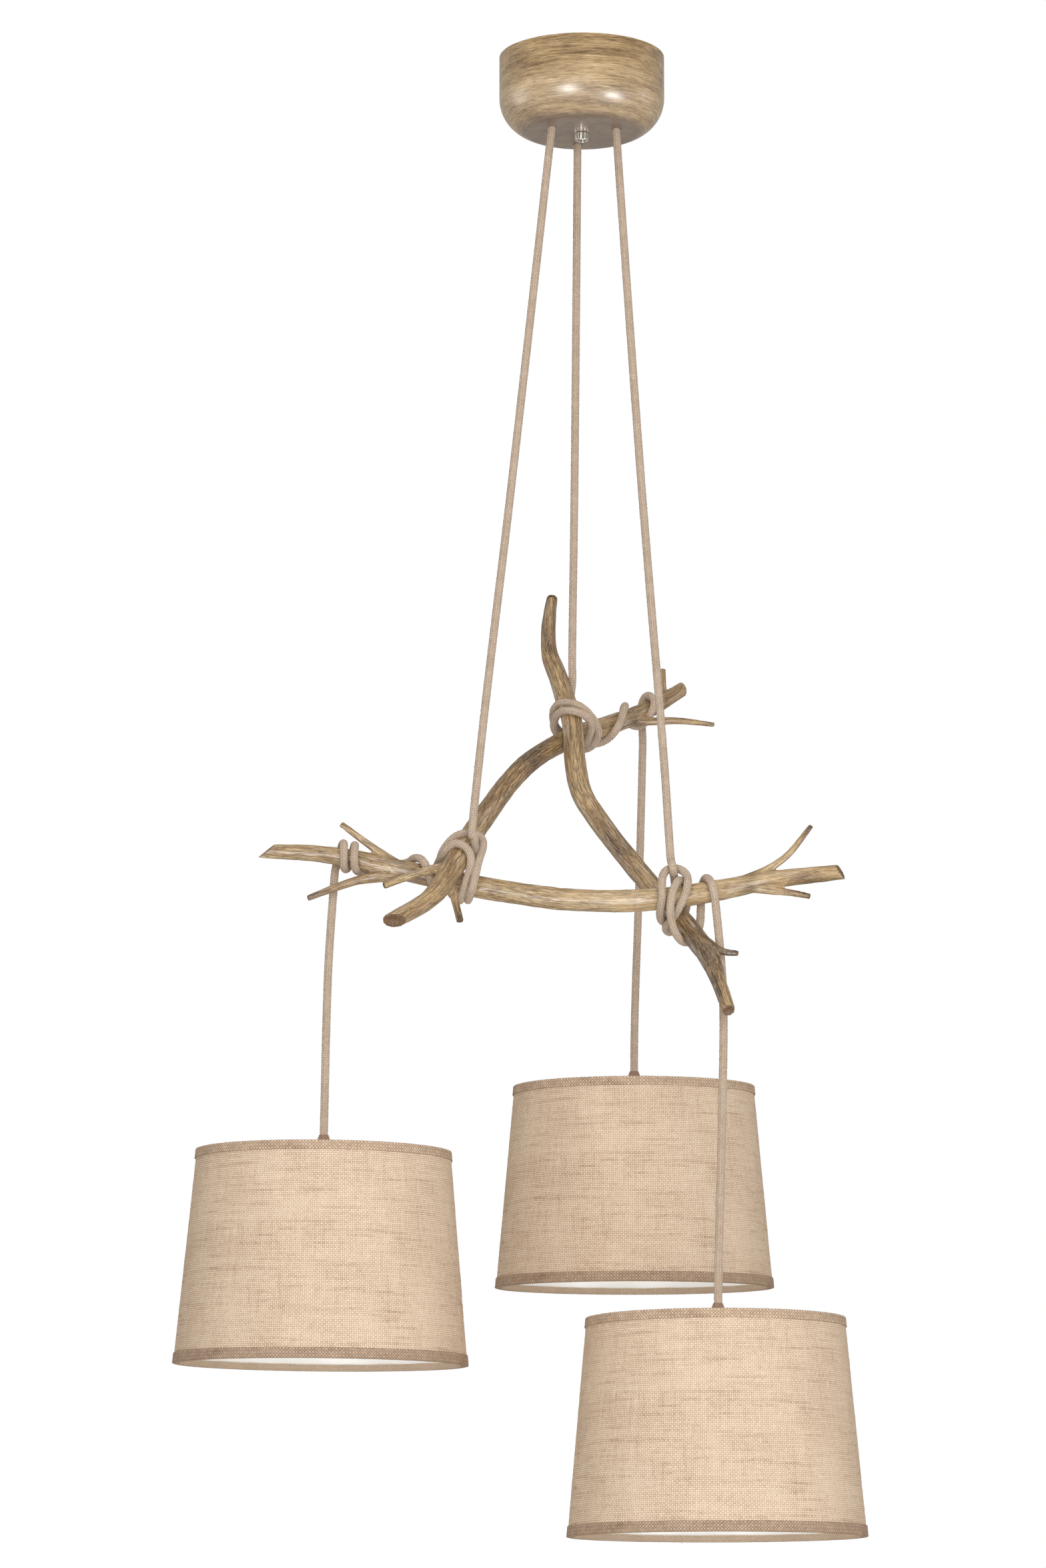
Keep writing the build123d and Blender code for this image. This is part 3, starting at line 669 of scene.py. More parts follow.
outlets = dict(radius=29.0, floor=-59.8, stopGap=2.8, stopHeight=8.0, spare=3.0, angles=dict(left=216, rear=96, right=336))
upperRoutes = dict(
    left=[(-53.1, -54, -343.5), (-72.5, -70, -510)],
    rear=[(-5.3, 44, -320.6), (-7.9, 54.2, -471)],
    right=[(40.7, -45, -304.8), (51.5, -63, -458), (60, -77, -573)],
)
windings = dict(  # the lashings' own points, given one by one after the photograph
    left=[
        (-83.6, -86, -620.7), (-82.8, -88.5, -628.1), (-82.1, -85.5, -633.7), (-82.1, -79, -638.7), (-81.7, -71.5, -644.1),
        (-81, -64.5, -649.6), (-82, -60.5, -657.6), (-84, -60.5, -665.7), (-85.9, -64.5, -672.3), (-87.1, -73.5, -676.7),
        (-86.2, -83.5, -675.3), (-83.9, -88.5, -670.3), (-82.2, -89.5, -664.4), (-81, -88, -658.2), (-79.8, -85, -651.7),
        (-78.1, -80.5, -645), (-76.2, -76, -638.3), (-76, -71, -631.9), (-79, -70, -627.7), (-84.4, -73, -626.2),
        (-89.9, -73.5, -626.3), (-94.7, -72, -627.5), (-99.2, -71, -630.4), (-103.4, -69.5, -635.2), (-106.9, -67, -640.9),
        (-108.5, -61.5, -648.2), (-107, -58, -656.7), (-102.5, -59, -666), (-97.4, -64, -672.8), (-93.1, -72.5, -676.8),
        (-91.5, -81.5, -674), (-89.9, -84.5, -669.2), (-88.2, -84.8, -663.2), (-86.2, -86, -657.4), (-85, -87.5, -652.1),
        (-85, -88, -646.1), (-87.2, -88.5, -640.9), (-91.2, -87, -637.2), (-96.2, -84.5, -635.5), (-100.5, -81, -636.8),
        (-104, -77.5, -640.5), (-107.9, -70.5, -645.5), (-111.5, -60.5, -651.5), (-113, -58.5, -659.8), (-112.9, -65, -666.9),
        (-113.2, -76, -668), (-114.3, -82.5, -663.9), (-116.6, -83.5, -657), (-119.4, -80, -650), (-123.1, -72, -645.2),
        (-128, -63.5, -643.7), (-132.6, -58.5, -646.2), (-143.3, -56, -647.8), (-157.2, -56.5, -650.9), (-168, -61, -653.6),
        (-171.4, -73, -652.4), (-172, -77.5, -646.7), (-171.9, -74, -639), (-172.1, -65, -633.7), (-173.8, -56, -637.7),
        (-175.2, -53.5, -644.4), (-178.1, -58.5, -650.7), (-179.7, -70, -651.5), (-179.9, -76.5, -645.4),
        (-180.1, -73.5, -638.4), (-180.5, -64.5, -632.4), (-182.8, -55.5, -635.1),
    ],
    rear=[
        (-7.5, 57, -479.9), (-7.8, 61, -488.7), (-9.1, 66, -498.4), (-10.6, 72, -508.9), (-10.5, 78, -518.4),
        (-6.3, 82, -525.6), (-0.7, 78, -531.1), (3.4, 68, -532.3), (5.3, 58, -529.4), (6.8, 49.5, -525.1), (6.4, 42, -521.2),
        (2.8, 35.5, -517.7), (-3, 31, -515.3), (-9.4, 30, -513.9), (-15.3, 34.5, -513.6), (-19.6, 42, -515.2),
        (-21.7, 50.5, -518.6), (-21.6, 60, -522.7), (-17.9, 71, -526.5), (-11, 82.5, -530.3), (-3.2, 88, -533.6),
        (3.5, 80.5, -534.9), (8.3, 69.5, -533.9), (11.9, 62, -529.5), (12.3, 55, -524.9), (10.4, 48.5, -520.5),
        (7.2, 42.5, -516.9), (2.8, 38, -512.7), (-2.9, 36, -508.9), (-9.9, 36.5, -506.7), (-16, 41, -505.9), (-20.1, 48, -507),
        (-22.4, 56.5, -510.4), (-22.1, 65, -515.5), (-18.9, 77, -520.2), (-10.5, 88.5, -524.5), (0.1, 97.5, -527.1),
        (11.2, 101.5, -527.2), (17.9, 99, -525.5), (23.1, 94.5, -522.3), (27.3, 93, -517.3), (30.5, 95, -510.8),
        (32.4, 99.5, -503.9), (33.9, 108, -497.5), (34.7, 118, -494.1), (33.8, 128, -494.4), (33.5, 137, -498.1),
        (37.3, 144, -502.8), (44.3, 147, -505.4), (50, 147, -503.3), (54.2, 141, -497.9), (58.2, 140.5, -489.9),
        (57.1, 148, -482), (52.6, 156.5, -478.8), (49, 164, -484), (48.5, 166, -494.4), (49.4, 164, -505.1),
    ],
    right=[
        (63.6, -85, -641.7), (64.7, -89.5, -650.4), (65.6, -90.5, -656.6), (66.6, -83, -661), (67.5, -74.5, -665.2),
        (68.4, -68.5, -673.4), (68.1, -62, -681.6), (65.9, -60.5, -687.9), (61.7, -67, -692.1), (57.1, -79, -692.5),
        (55.8, -89.5, -688.5), (56.4, -95, -683.3), (57.2, -97, -677.5), (57.2, -96, -670.9), (57.3, -93, -664.7),
        (58.7, -89, -659.1), (61.8, -85, -655.5), (65.9, -82.5, -654.1), (70, -85, -655), (73.6, -89, -657.6),
        (76.2, -93, -662.4), (76, -96.5, -669), (74.5, -98, -675.2), (71.9, -98, -681.2), (69.3, -95.5, -686.3),
        (66.7, -90.5, -690.6), (62.8, -86, -695), (60.3, -78.5, -698), (63.1, -68, -700), (68.8, -59.5, -695.8),
        (73.3, -60.5, -688.9), (76, -66, -681.6), (76.6, -70, -674.1), (75.7, -75.5, -667.9), (73, -84.5, -664.4),
        (69.2, -93, -665.2), (66.3, -98, -670.4), (64.5, -99.5, -676.4), (63.5, -99.5, -682.4), (63.2, -98.5, -688.3),
        (63.8, -96, -694.4), (65.6, -93.5, -700.5), (68.3, -91, -705.7), (72.7, -85, -709.4), (78.2, -77, -708.5),
        (82.8, -74.5, -703.9), (85.3, -75, -697.5), (86.3, -75.5, -690.5), (86.6, -75, -682.9), (87.1, -75.5, -674.9),
        (87.9, -77, -666.6), (89.2, -83.5, -662.5), (91.3, -91.5, -663), (93.6, -98, -667.2), (95.4, -100, -674),
    ],
)
dropRoutes = dict(
    left=[(-187.2, -54.5, -652), (-191.4, -54.5, -709.8), (-193, -54.5, -768)],
    rear=[(49.6, 161, -517), (47.8, 161, -585), (45.2, 161, -662), (43.4, 161, -705)],
    right=[(96.4, -100, -680), (100.6, -100, -722), (102.4, -100, -762), (101, -100, -826), (99, -100, -895)],
)
shadePlaces = dict(left=((-194.5, -54.5, -863.0), 1.1), rear=((41.7, 161.0, -792.0), 0.0), right=((96.5, -100.0, -990.5), 0.3))
skinHangs = dict(
    left=dict(shift=(0.3, 0, -0.3), lean=0.5, tip=-0.2),
    rear=dict(shift=(-0.3, 0, -0.6), lean=0.0, tip=-0.9),
    right=dict(shift=(-1.8, 0, 0.7), lean=-0.05, tip=1.2),
)
capTop, capBase, runIn = 12.5, -8.0, 20.0


def windingLine(side):
    # the spline cuts inside its points, so each of the lashing's goes out by as much as it cuts
    line = [Vector(place) for place in (*upperRoutes[side], *windings[side], dropRoutes[side][0])]
    fixed = len(upperRoutes[side])
    points = line[:fixed]
    for behind, point, ahead in zip(line[fixed - 1:], line[fixed:], line[fixed + 1:]):
        points.append(point - (behind + ahead - point * 2) / 8)
    return points + [line[-1]]


def splineLine(name, points):
    # the route's smooth spline, and close points along it
    curve = bpy.data.curves.new(name, "CURVE")
    curve.dimensions = "3D"
    curve.resolution_u = 24
    spline = curve.splines.new("NURBS")
    spline.points.add(len(points) - 1)
    for knot, point in zip(spline.points, points):
        knot.co = (*(Vector(point) * mm), 1)
    spline.order_u = 3
    spline.use_endpoint_u = True
    holder = bpy.data.objects.new(name, curve)
    scene.collection.objects.link(holder)
    mesh = bpy.data.meshes.new_from_object(holder.evaluated_get(bpy.context.evaluated_depsgraph_get()))
    line = np.array([vertex.co for vertex in mesh.vertices]) / mm
    bpy.data.objects.remove(holder)
    bpy.data.meshes.remove(mesh)
    return line


def stitches(along, around):
    # knitted ribs: leaning stitches in lanes along the cord
    look = cordLook
    lane = np.mod(around * look["wales"], 1)
    phase = along / look["stitch"] + np.abs(lane - 0.5) * 2 * look["slant"]
    rough = np.random.default_rng(7).normal(0, look["rough"], np.broadcast(along, around).shape)
    return look["relief"] * (np.sin(phase * 2 * pi) * (1 - np.abs(lane * 2 - 1) ** 3) + rough)


def cordPiece(name, line):
    look = cordLook
    return tube(name, line, look["radius"], look["around"], knit, look["step"], relief=stitches)


cordLines = {}
for side in sides:
    first = Vector(upperRoutes[side][0])
    angle = radians(outlets["angles"][side])
    outlet = Vector((outlets["radius"] * cos(angle), outlets["radius"] * sin(angle), outlets["floor"]))
    heading = (outlet - first).normalized()
    top = outlet + heading * (outlets["stopGap"] + outlets["stopHeight"] + outlets["spare"])
    cordLines[side] = splineLine("upperLine", [top, *windingLine(side)])
    cord = cordPiece("cordUpper_" + side, cordLines[side])
    dressed(cord, "frame", "cord_cloth", "cord_upper_" + side, "lashing_" + side)

    shadeFrame = leaning(*shadePlaces[side])
    loose, following = (Vector(point) for point in dropRoutes[side][:2])
    head = loose + (following - loose).normalized() * cordLook["headGap"]
    foot = [shadeFrame @ Vector((0, 0, height)) for height in (capTop + runIn, capBase)]
    hanging = splineLine("dropLine", [head, *dropRoutes[side][1:], *foot])
    drop = cordPiece("cordDrop_" + side, np.vstack([[loose], hanging]))
    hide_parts("cord_drop_" + side)
    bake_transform(drop)
print("cords wound")


# Branches. A smooth stem and its twigs, grown together, with dents, ridges and sawn ends.

woodLook = dict(cell=0.95, step=1.5, around=28, lump=0.07, fineLump=0.035, ridges=0.28, pith=1.6, cordAir=0.12)
stems = dict(
    front=dict(
        node="branch_front",
        stem=[(-246, -60.5, -637.5, 5.0), (-193, -64, -641, 6.5), (-138, -69, -653, 7.5), (-73, -74, -668, 8.2),
              (-13, -79, -677, 8.2), (46, -84, -678, 8.2), (101, -88, -671, 7.8), (140, -92, -664, 6.6),
              (198, -96, -658, 5.4)],
        twigs=[
            [(-138, -69, -650, 3.6), (-157, -67, -637, 2.9), (-182.5, -63, -617.5, 2.2)],
            [(-128, -70, -657, 4.4), (-154, -71, -659, 4.1), (-170, -70, -661.5, 3.3), (-187, -70, -667, 2.8),
             (-207, -71, -675, 2.2)],
            [(119, -90, -664, 4.0), (136, -90, -656, 3.1), (151, -89, -645, 2.6), (169, -86, -622.5, 2.0)],
            [(116, -91, -669, 3.8), (135, -93, -672, 3.2), (151, -95, -674, 2.6), (167, -98, -677.5, 2.1)],
        ],
        saws=[(0, (-0.62, -0.1, 0.78)), (-1, (0.85, -0.3, 0.42))],
        toneShift=[((46, -84, -678), 60, -0.5), ((150, -92, -662), 45, -0.25), ((-25, -79, -677), 40, -0.1)],
    ),
    diagonal=dict(
        node="branch_diagonal",
        stem=[(-146, -148, -705.6, 6.1), (-113, -110, -679, 7.4), (-96, -81, -649, 8.8), (-77, -48, -612, 8.3),
              (-45, 1, -563, 7.8), (-7, 59, -529, 7.8), (17, 97, -515, 7.8), (39, 132, -501, 7.3),
              (56, 156, -489, 6.8), (87, 196, -463.5, 5.4)],
        twigs=[
            [(-98, -84, -652, 4.2), (-117, -92, -657, 3.3), (-135, -95, -663.5, 2.8), (-149.5, -98, -669.5, 2.6)],
            [(-100, -91, -662, 4.0), (-97, -97, -678, 3.0), (-92.5, -103, -697, 2.7)],
            [(66, 171, -479, 3.0), (66.4, 173, -466, 2.6), (66, 174, -453.5, 2.5)],
            [(34, 125, -505, 4.0), (51.5, 138, -503, 3.4), (77, 146, -501, 2.8), (106.5, 152, -503, 1.8)],
        ],
        saws=[(0, (0.124, -0.699, -0.704)), (-1, (0.85, 0.45, 0.25))],
        toneShift=[((-45, 1, -563), 45, 0.75), ((-62, -28, -592), 35, 0.4), ((56, 156, -489), 60, 0.25)],
    ),
    tall=dict(
        node="branch_tall",
        stem=[(-23, 108, -409, 4.4), (-26, 92, -436, 5.6), (-25, 77, -460, 6.5), (-18, 61, -484, 7.5),
              (-8, 37, -523, 8.0), (-6, 18, -555, 8.1), (-1, 0, -584, 8.1), (19, -23, -619, 7.9),
              (55, -60, -670, 7.7), (78, -85, -701.5, 8.4), (86.5, -99, -715, 8.0), (93.5, -112, -730, 7.2),
              (97, -121, -742, 5.8), (106, -141, -773, 4.7)],
        twigs=[
            [(-23, 72, -464, 3.2), (-24, 84, -441, 3.0), (-23.3, 101, -411, 2.7)],
            [(80, -92, -704, 4.2), (91, -105, -713, 3.4), (101, -112, -720.5, 2.7), (112.5, -116, -722.5, 2.1)],
        ],
        saws=[(-1, (0.3, -0.68, -0.67))],
        toneShift=[((-23, 96, -430), 60, 0.5), ((-6, 18, -555), 40, 0.15), ((30, -35, -635), 32, 0.6), ((85, -98, -714), 40, 0.6),
              ((99, -125, -750), 30, 0.5)],
    ),
)


def grown(stations, step):
    # a smooth line through stations of place and radius
    stations = np.asarray(stations, float)
    padded = np.vstack([2 * stations[0] - stations[1], stations, 2 * stations[-1] - stations[-2]])
    line = []
    for number in range(1, len(padded) - 2):
        four = padded[number - 1:number + 3]
        gaps = [np.linalg.norm(following[:3] - point[:3]) ** 0.5 for point, following in zip(four, four[1:])]
        knots = np.cumsum([0] + gaps)
        for place in np.linspace(knots[1], knots[2], 12, endpoint=False):
            def between(first, second, low, high):
                return ((high - place) * first + (place - low) * second) / (high - low)
            one, two, three = (between(four[k], four[k + 1], knots[k], knots[k + 1]) for k in range(3))
            early, late = between(one, two, knots[0], knots[2]), between(two, three, knots[1], knots[3])
            line.append(between(early, late, knots[1], knots[2]))
    line.append(stations[-1])
    return even(np.array(line), step)[0]


def finder(points):
    tree = kdtree.KDTree(len(points))
    for index, point in enumerate(points):
        tree.insert(point, index)
    tree.balance()
    return tree


def reading(mesh, label):
    # one vector of each point of a mesh
    values = np.empty(len(mesh.vertices) * 3, np.float32)
    mesh.vertices.foreach_get(label, values)
    return values.reshape(-1, 3).astype(float)


def limb(name, line, seed, cuts=()):
    # one round limb with lumps, closed at both ends and sawn off at the cuts
    ways, across, through = carried(line[:, :3])
    count = woodLook["around"]
    angles = np.arange(count) / count * 2 * pi
    spots = []
    for number, (place, radius) in enumerate(zip(line[:, :3], line[:, 3])):
        for angle in angles:
            lump = noise.noise(Vector((number * 0.045 + seed, cos(angle) * 0.8, sin(angle) * 0.8 + seed)))
            fine = noise.noise(Vector((number * 0.16 + seed, cos(angle) * 1.6, sin(angle) * 1.6 - seed)))
            size = radius * (1 + woodLook["lump"] * lump + woodLook["fineLump"] * fine)
            spots.append(place + size * (cos(angle) * across[number] + sin(angle) * through[number]))
    faces = grid(len(line), count, False)
    faces += [tuple(range(count - 1, -1, -1)), tuple(range(len(spots) - count, len(spots)))]
    return faced(build(name, spots, faces, wood), cuts=cuts)


def branchPiece(kind, look):
    # a branch's limbs fused into one skin, its saw cuts, and each limb's own line
    lines = [grown(stations, woodLook["step"]) for stations in (look["stem"], *look["twigs"])]
    saws = []
    for end, slant in look["saws"]:
        tip = Vector(look["stem"][end][:3])
        inner = Vector(look["stem"][1 if end == 0 else end - 1][:3])
        radius = look["stem"][end][3]
        saws.append((tip - (tip - inner).normalized() * radius * 1.4, Vector(slant).normalized(), radius))
    cuts = [saw[:2] for saw in saws]
    limbs = [limb("limb", line, 3.1 * number, () if number else cuts) for number, line in enumerate(lines)]
    branch = joined("branch_" + kind + "_wood", limbs)
    fuse = branch.modifiers.new("fuse", "REMESH")
    fuse.mode = "VOXEL"
    fuse.voxel_size = woodLook["cell"] * mm
    ease = branch.modifiers.new("ease", "SMOOTH")
    ease.factor = 0.5
    ease.iterations = 3
    settled(branch)
    branch.data.materials.clear()
    branch.data.materials.append(wood)
    return branch, saws, lines


cordTree = finder(np.vstack([even(cordLines[side], 1.0)[0] for side in sides]))

for kind, look in stems.items():
    branch, saws, lines = branchPiece(kind, look)
    mesh = branch.data
    count = len(mesh.vertices)
    spots = reading(mesh, "co") / mm
    facings = reading(mesh, "normal")
    # each point's place along and across its limb, and how near it is to a sawn end or a knot
    best = np.full(count, 1e9)
    grain = np.zeros((count, 3))
    cut = np.zeros(count)
    knot = np.zeros(count)
    # toneShift: how much darker and more mottled the wood is around the listed places, lighter where below zero, and
    # darker near the twigs' tips
    toneShift = sum(much * np.exp(-((spots - middle) ** 2).sum(1) / reach ** 2) for middle, reach, much in look["toneShift"])
    for number, line in enumerate(lines):
        ways, across, through = carried(line[:, :3])
        tree = finder(line[:, :3])
        near = np.array([tree.find(spot)[1] for spot in spots])
        away = spots - line[near, :3]
        depth = np.linalg.norm(away, axis=1) - line[near, 3]
        closer = depth < best
        slide = (away * ways[near]).sum(1)
        along = near * woodLook["step"] + slide + 300 * number
        local = np.stack([along, (away * across[near]).sum(1), (away * through[near]).sum(1)], axis=1)
        grain[closer] = local[closer]
        best[closer] = depth[closer]
        if number:
            tip, way = line[-1, :3], ways[-1]
            far = np.linalg.norm(spots - tip, axis=1)
            cut = np.maximum(cut, np.where(((spots - tip) @ way > -0.7) & (far < line[-1, 3] * 1.7), 1, 0))
            toneShift = np.where(far < 20, np.maximum(toneShift, 0.95 - far / 21), toneShift)
            root = line[min(3, len(line) - 1), :3]
            knot = np.maximum(knot, np.clip(1 - np.linalg.norm(spots - root, axis=1) / (line[0, 3] * 2.6), 0, 1))
    hollow = np.zeros(count)
    for middle, facing, radius in saws:
        offset = spots - np.array(middle)
        over = offset @ np.array(facing)
        beside = np.linalg.norm(offset - over[:, None] * np.array(facing), axis=1)
        on = (over > -0.8) & (np.linalg.norm(offset, axis=1) < radius * 2.2) & (facings @ np.array(facing) > 0.55)
        cut = np.maximum(cut, np.where(on, 1, 0))
        hollow = np.maximum(hollow, np.where(on, np.clip(1 - beside / (radius * 0.75), 0, 1), 0))
    if kind == "tall":
        # the tall branch's upper end is broken off level
        tip = np.array(look["stem"][0][:3])
        cut = np.maximum(cut, np.where((spots[:, 2] > tip[2] - 1.0) & (np.linalg.norm(spots - tip, axis=1) < 9), 1, 0))
    ridges = np.array([
        noise.noise(Vector((s * 0.035, a * 0.9, b * 0.9))) + 0.5 * noise.noise(Vector((s * 0.09, a * 1.9, b * 1.9)))
        for s, a, b in grain
    ])
    spots += facings * (ridges * woodLook["ridges"] * (1 - cut) - hollow * woodLook["pith"])[:, None]
    # the wood gives way around the cords that press on it
    clear = cordLook["radius"] + woodLook["cordAir"]
    for index, spot in enumerate(spots):
        strand, _, gap = cordTree.find(spot)
        if gap < clear:
            spots[index] = np.array(strand) + (spot - np.array(strand)) / max(gap, 1e-6) * clear
    mesh.vertices.foreach_set("co", (spots * mm).astype(np.float32).ravel())
    for label, values in dict(grain=grain * mm, cut=cut, knot=knot, toneShift=toneShift).items():
        kindOf, field = ("FLOAT_VECTOR", "vector") if label == "grain" else ("FLOAT", "value")
        layer = mesh.attributes.new(label, kindOf, "POINT")
        layer.data.foreach_set(field, values.astype(np.float32).ravel())
    mesh.polygons.foreach_set("use_smooth", [True] * len(mesh.polygons))
    mesh.update()
    dressed(branch, "frame", "branch_wood", look["node"])
    print("branch", kind, len(mesh.polygons), "faces")


# Shades and their lampholders, heights from the shade's top rim

shadeLook = dict(top=94.4, bottom=108.4, height=156.5, solidHeight=155, cloth=0.8, lining=0.5, gap=0.05, tape=0.8,
                 topTape=6.0, bottomTape=7.0, wire=1.5, spokes=3, fitterDrop=33.0, fitter=28.0, fitterThick=1.6,
                 around=192, tapeAround=420, rows=108, soft=0.25, threads=0.22)
holderLook = dict(body=20.0, shoulder=-18.0, flange=23.0, flangeThick=3.0, skirt=19.7, end=-63.0, socket=14.2,
                  socketTop=-27.0, air=0.3, insert=7.0, capFoot=11.0, capHead=3.5)
ringNutLook = dict(radius=26.4, bore=20.0, top=-34.9, high=8.0, chamfer=0.5, grips=12, circle=25.9, grip=2.6, gripHigh=7.4)
canopyNutLook = dict(radius=5.35, bore=4.1, top=-61.1, high=5.9, chamfer=0.4, grips=24, circle=5.35, grip=0.4, gripHigh=5.1)
slubLook = dict(density=7000.0, thick=0.24, long=16.0, seed=40)
lampLook = dict(base=13.1, baseHigh=25.0, globe=30.0, neck=12.0, length=108.0, wall=1.0, turns=7, threadSteps=56, groove=0.55)
taper = (shadeLook["bottom"] - shadeLook["top"]) / shadeLook["solidHeight"]


def shadeRadius(height, depth):
    return shadeLook["top"] - taper * height - depth


def slope(depth, rows):
    # points down a shade's side, so deep under the cloth's outside
    heights = [-shadeLook["height"] * row / rows for row in range(rows + 1)]
    return [(shadeRadius(height, depth), height) for height in heights]


def uneven(angles, scale, shift, levels):
    # smooth unevenness round a shade, one row for each level
    return np.array([
        [noise.noise(Vector((cos(angle) * scale + shift, sin(angle) * scale, level))) for angle in angles[0]] for level in levels
    ])


def clothPiece(side, place):
    rows = shadeLook["rows"]

    def ripple(angles, heights, radii):
        # a soft unevenness of the cloth, and its threads on the outside alone
        soft = uneven(angles, 2.2, len(side), [float(height) * 0.02 for height in heights[:, 0]])
        threads = uneven(angles, 45, 0, [row * 0.83 + len(side) for row in range(len(heights))])
        threads[rows + 1:] = 0
        return soft * shadeLook["soft"] + threads * shadeLook["threads"], 0.0

    outline = slope(0, rows) + slope(shadeLook["cloth"], 8)[::-1]
    return creased(turned("cloth_" + side, outline, place, cloth, shadeLook["around"], ripple=ripple))


def liningPiece(side, place):
    near = shadeLook["cloth"] + shadeLook["gap"]
    outline = slope(near, 8) + slope(near + shadeLook["lining"], 8)[::-1]
    return creased(turned("lining_" + side, outline, place, film, shadeLook["around"]))


def tapePiece(name, side, place, edge, width, up, fold, seed, finish=tape):
    # a tape glued outside a rim and turned in over the wire; its inner edge is cut by hand and wavers
    thick = shadeLook["tape"]
    proud = -shadeLook["gap"] - thick
    covers = shadeLook["cloth"] + shadeLook["lining"] + 2 * shadeLook["gap"] + 2 * shadeLook["wire"]
    low = edge - up * width
    crown = edge + up * thick
    inside = edge - up * fold
    outline = eased([
        (shadeRadius(low, -shadeLook["gap"]), low), (shadeRadius(edge, -shadeLook["gap"]), edge + up * 0.05),
        (shadeRadius(edge, covers + 0.1), edge + up * 0.05), (shadeRadius(inside, covers + 0.15), inside),
        (shadeRadius(inside, covers + thick * 0.75), inside), (shadeRadius(crown, covers + thick * 0.9), crown),
        (shadeRadius(crown, proud), crown), (shadeRadius(low, proud), low),
    ], 0.5, 2)
    heights = np.array([point[1] for point in outline])
    radii = np.array([point[0] for point in outline])
    inner = (radii < shadeRadius(inside, covers - 1)) & (np.abs(heights - inside) < fold * 0.6)
    outer = (radii > shadeRadius(low, 1)) & (np.abs(heights - low) < width * 0.5)
    outside = (radii > shadeRadius(crown, 0))[:, None]

    def ripple(angles, heightsHere, radiiHere):
        wave = uneven(angles, 5, seed, [0])
        fine = uneven(angles, 30, seed, [7])
        bump = uneven(angles, 70, seed, [row * 0.9 for row in range(len(radii))])
        lift = inner[:, None] * wave * 0.45 + outer[:, None] * (wave * 0.3 + fine * 0.2)
        return outside * (fine * 0.1 + bump * 0.22), lift * -up + outside * bump * 0.12

    return creased(turned(name + side, outline, place, finish, shadeLook["tapeAround"], ripple=ripple), 70)


def rimRadius(height):
    # where the middle of a wire ring lies, just inside the lining
    return shadeRadius(height, shadeLook["cloth"] + shadeLook["lining"] + 2 * shadeLook["gap"] + shadeLook["wire"])


def wireRing(name, height, place, steps=12):
    radius, wire = rimRadius(height), shadeLook["wire"]
    angles = [step / steps * 2 * pi for step in range(steps)]
    outline = [(radius + wire * cos(angle), height + wire * sin(angle)) for angle in angles]
    return turned(name, outline, place, whiteWire, shadeLook["around"])


def carrierPiece(side, place, skin):
    wire = shadeLook["wire"]
    rimHeight = -wire
    drop, end = -shadeLook["fitterDrop"], -shadeLook["fitterDrop"] - shadeLook["fitterThick"]
    hole, rim = holderLook["skirt"] + holderLook["air"], shadeLook["fitter"]
    plate = turned("plate", eased([(hole, drop), (rim, drop), (rim, end), (hole, end)], 0.4, 2), place, whiteWire)
    pieces = [wireRing("rim", rimHeight, skin), plate]
    for number in range(shadeLook["spokes"]):
        angle = radians(360 / shadeLook["spokes"] * number + 90)
        far = rimRadius(rimHeight)
        near = rim - wire
        corners = [(far - 6, rimHeight - 1.2), (near + 9, drop + 2.6), (near, drop + 0.2), (near - 4.5, drop + 1.2)]
        start = placed([(far * cos(angle), far * sin(angle), rimHeight)], skin)
        spots = placed([(radius * cos(angle), radius * sin(angle), height) for radius, height in corners], place)
        spots = eased([tuple(point) for point in np.vstack([start, spots])], 6, 6, closed=False)
        pieces.append(tube("spoke", spots, wire, 14, whiteWire, 0.9))
    return creased(joined("carrier_" + side, pieces), 60)


def holderPiece(side, place):
    look = holderLook
    flangeTop = -shadeLook["fitterDrop"] + look["air"] + look["flangeThick"]
    flangeEnd = flangeTop - look["flangeThick"]
    steps = 8
    dome = [(look["capFoot"] + (look["body"] - look["capFoot"]) * sin(step / steps * pi / 2),
             look["shoulder"] + (capBase - look["shoulder"]) * cos(step / steps * pi / 2)) for step in range(steps + 1)]
    outline = dome + eased([
        (look["body"], look["shoulder"] - 1), (look["body"], flangeTop), (look["flange"], flangeTop), (look["flange"], flangeEnd),
        (look["skirt"], flangeEnd), (look["skirt"], look["end"]), (look["socket"], look["end"]),
        (look["socket"], look["socketTop"]),
    ], 0.5, 3, closed=False)
    outline += [(0, look["socketTop"]), (0, capBase)]
    return creased(turned("holder_" + side, outline, place, holderWhite), 40)


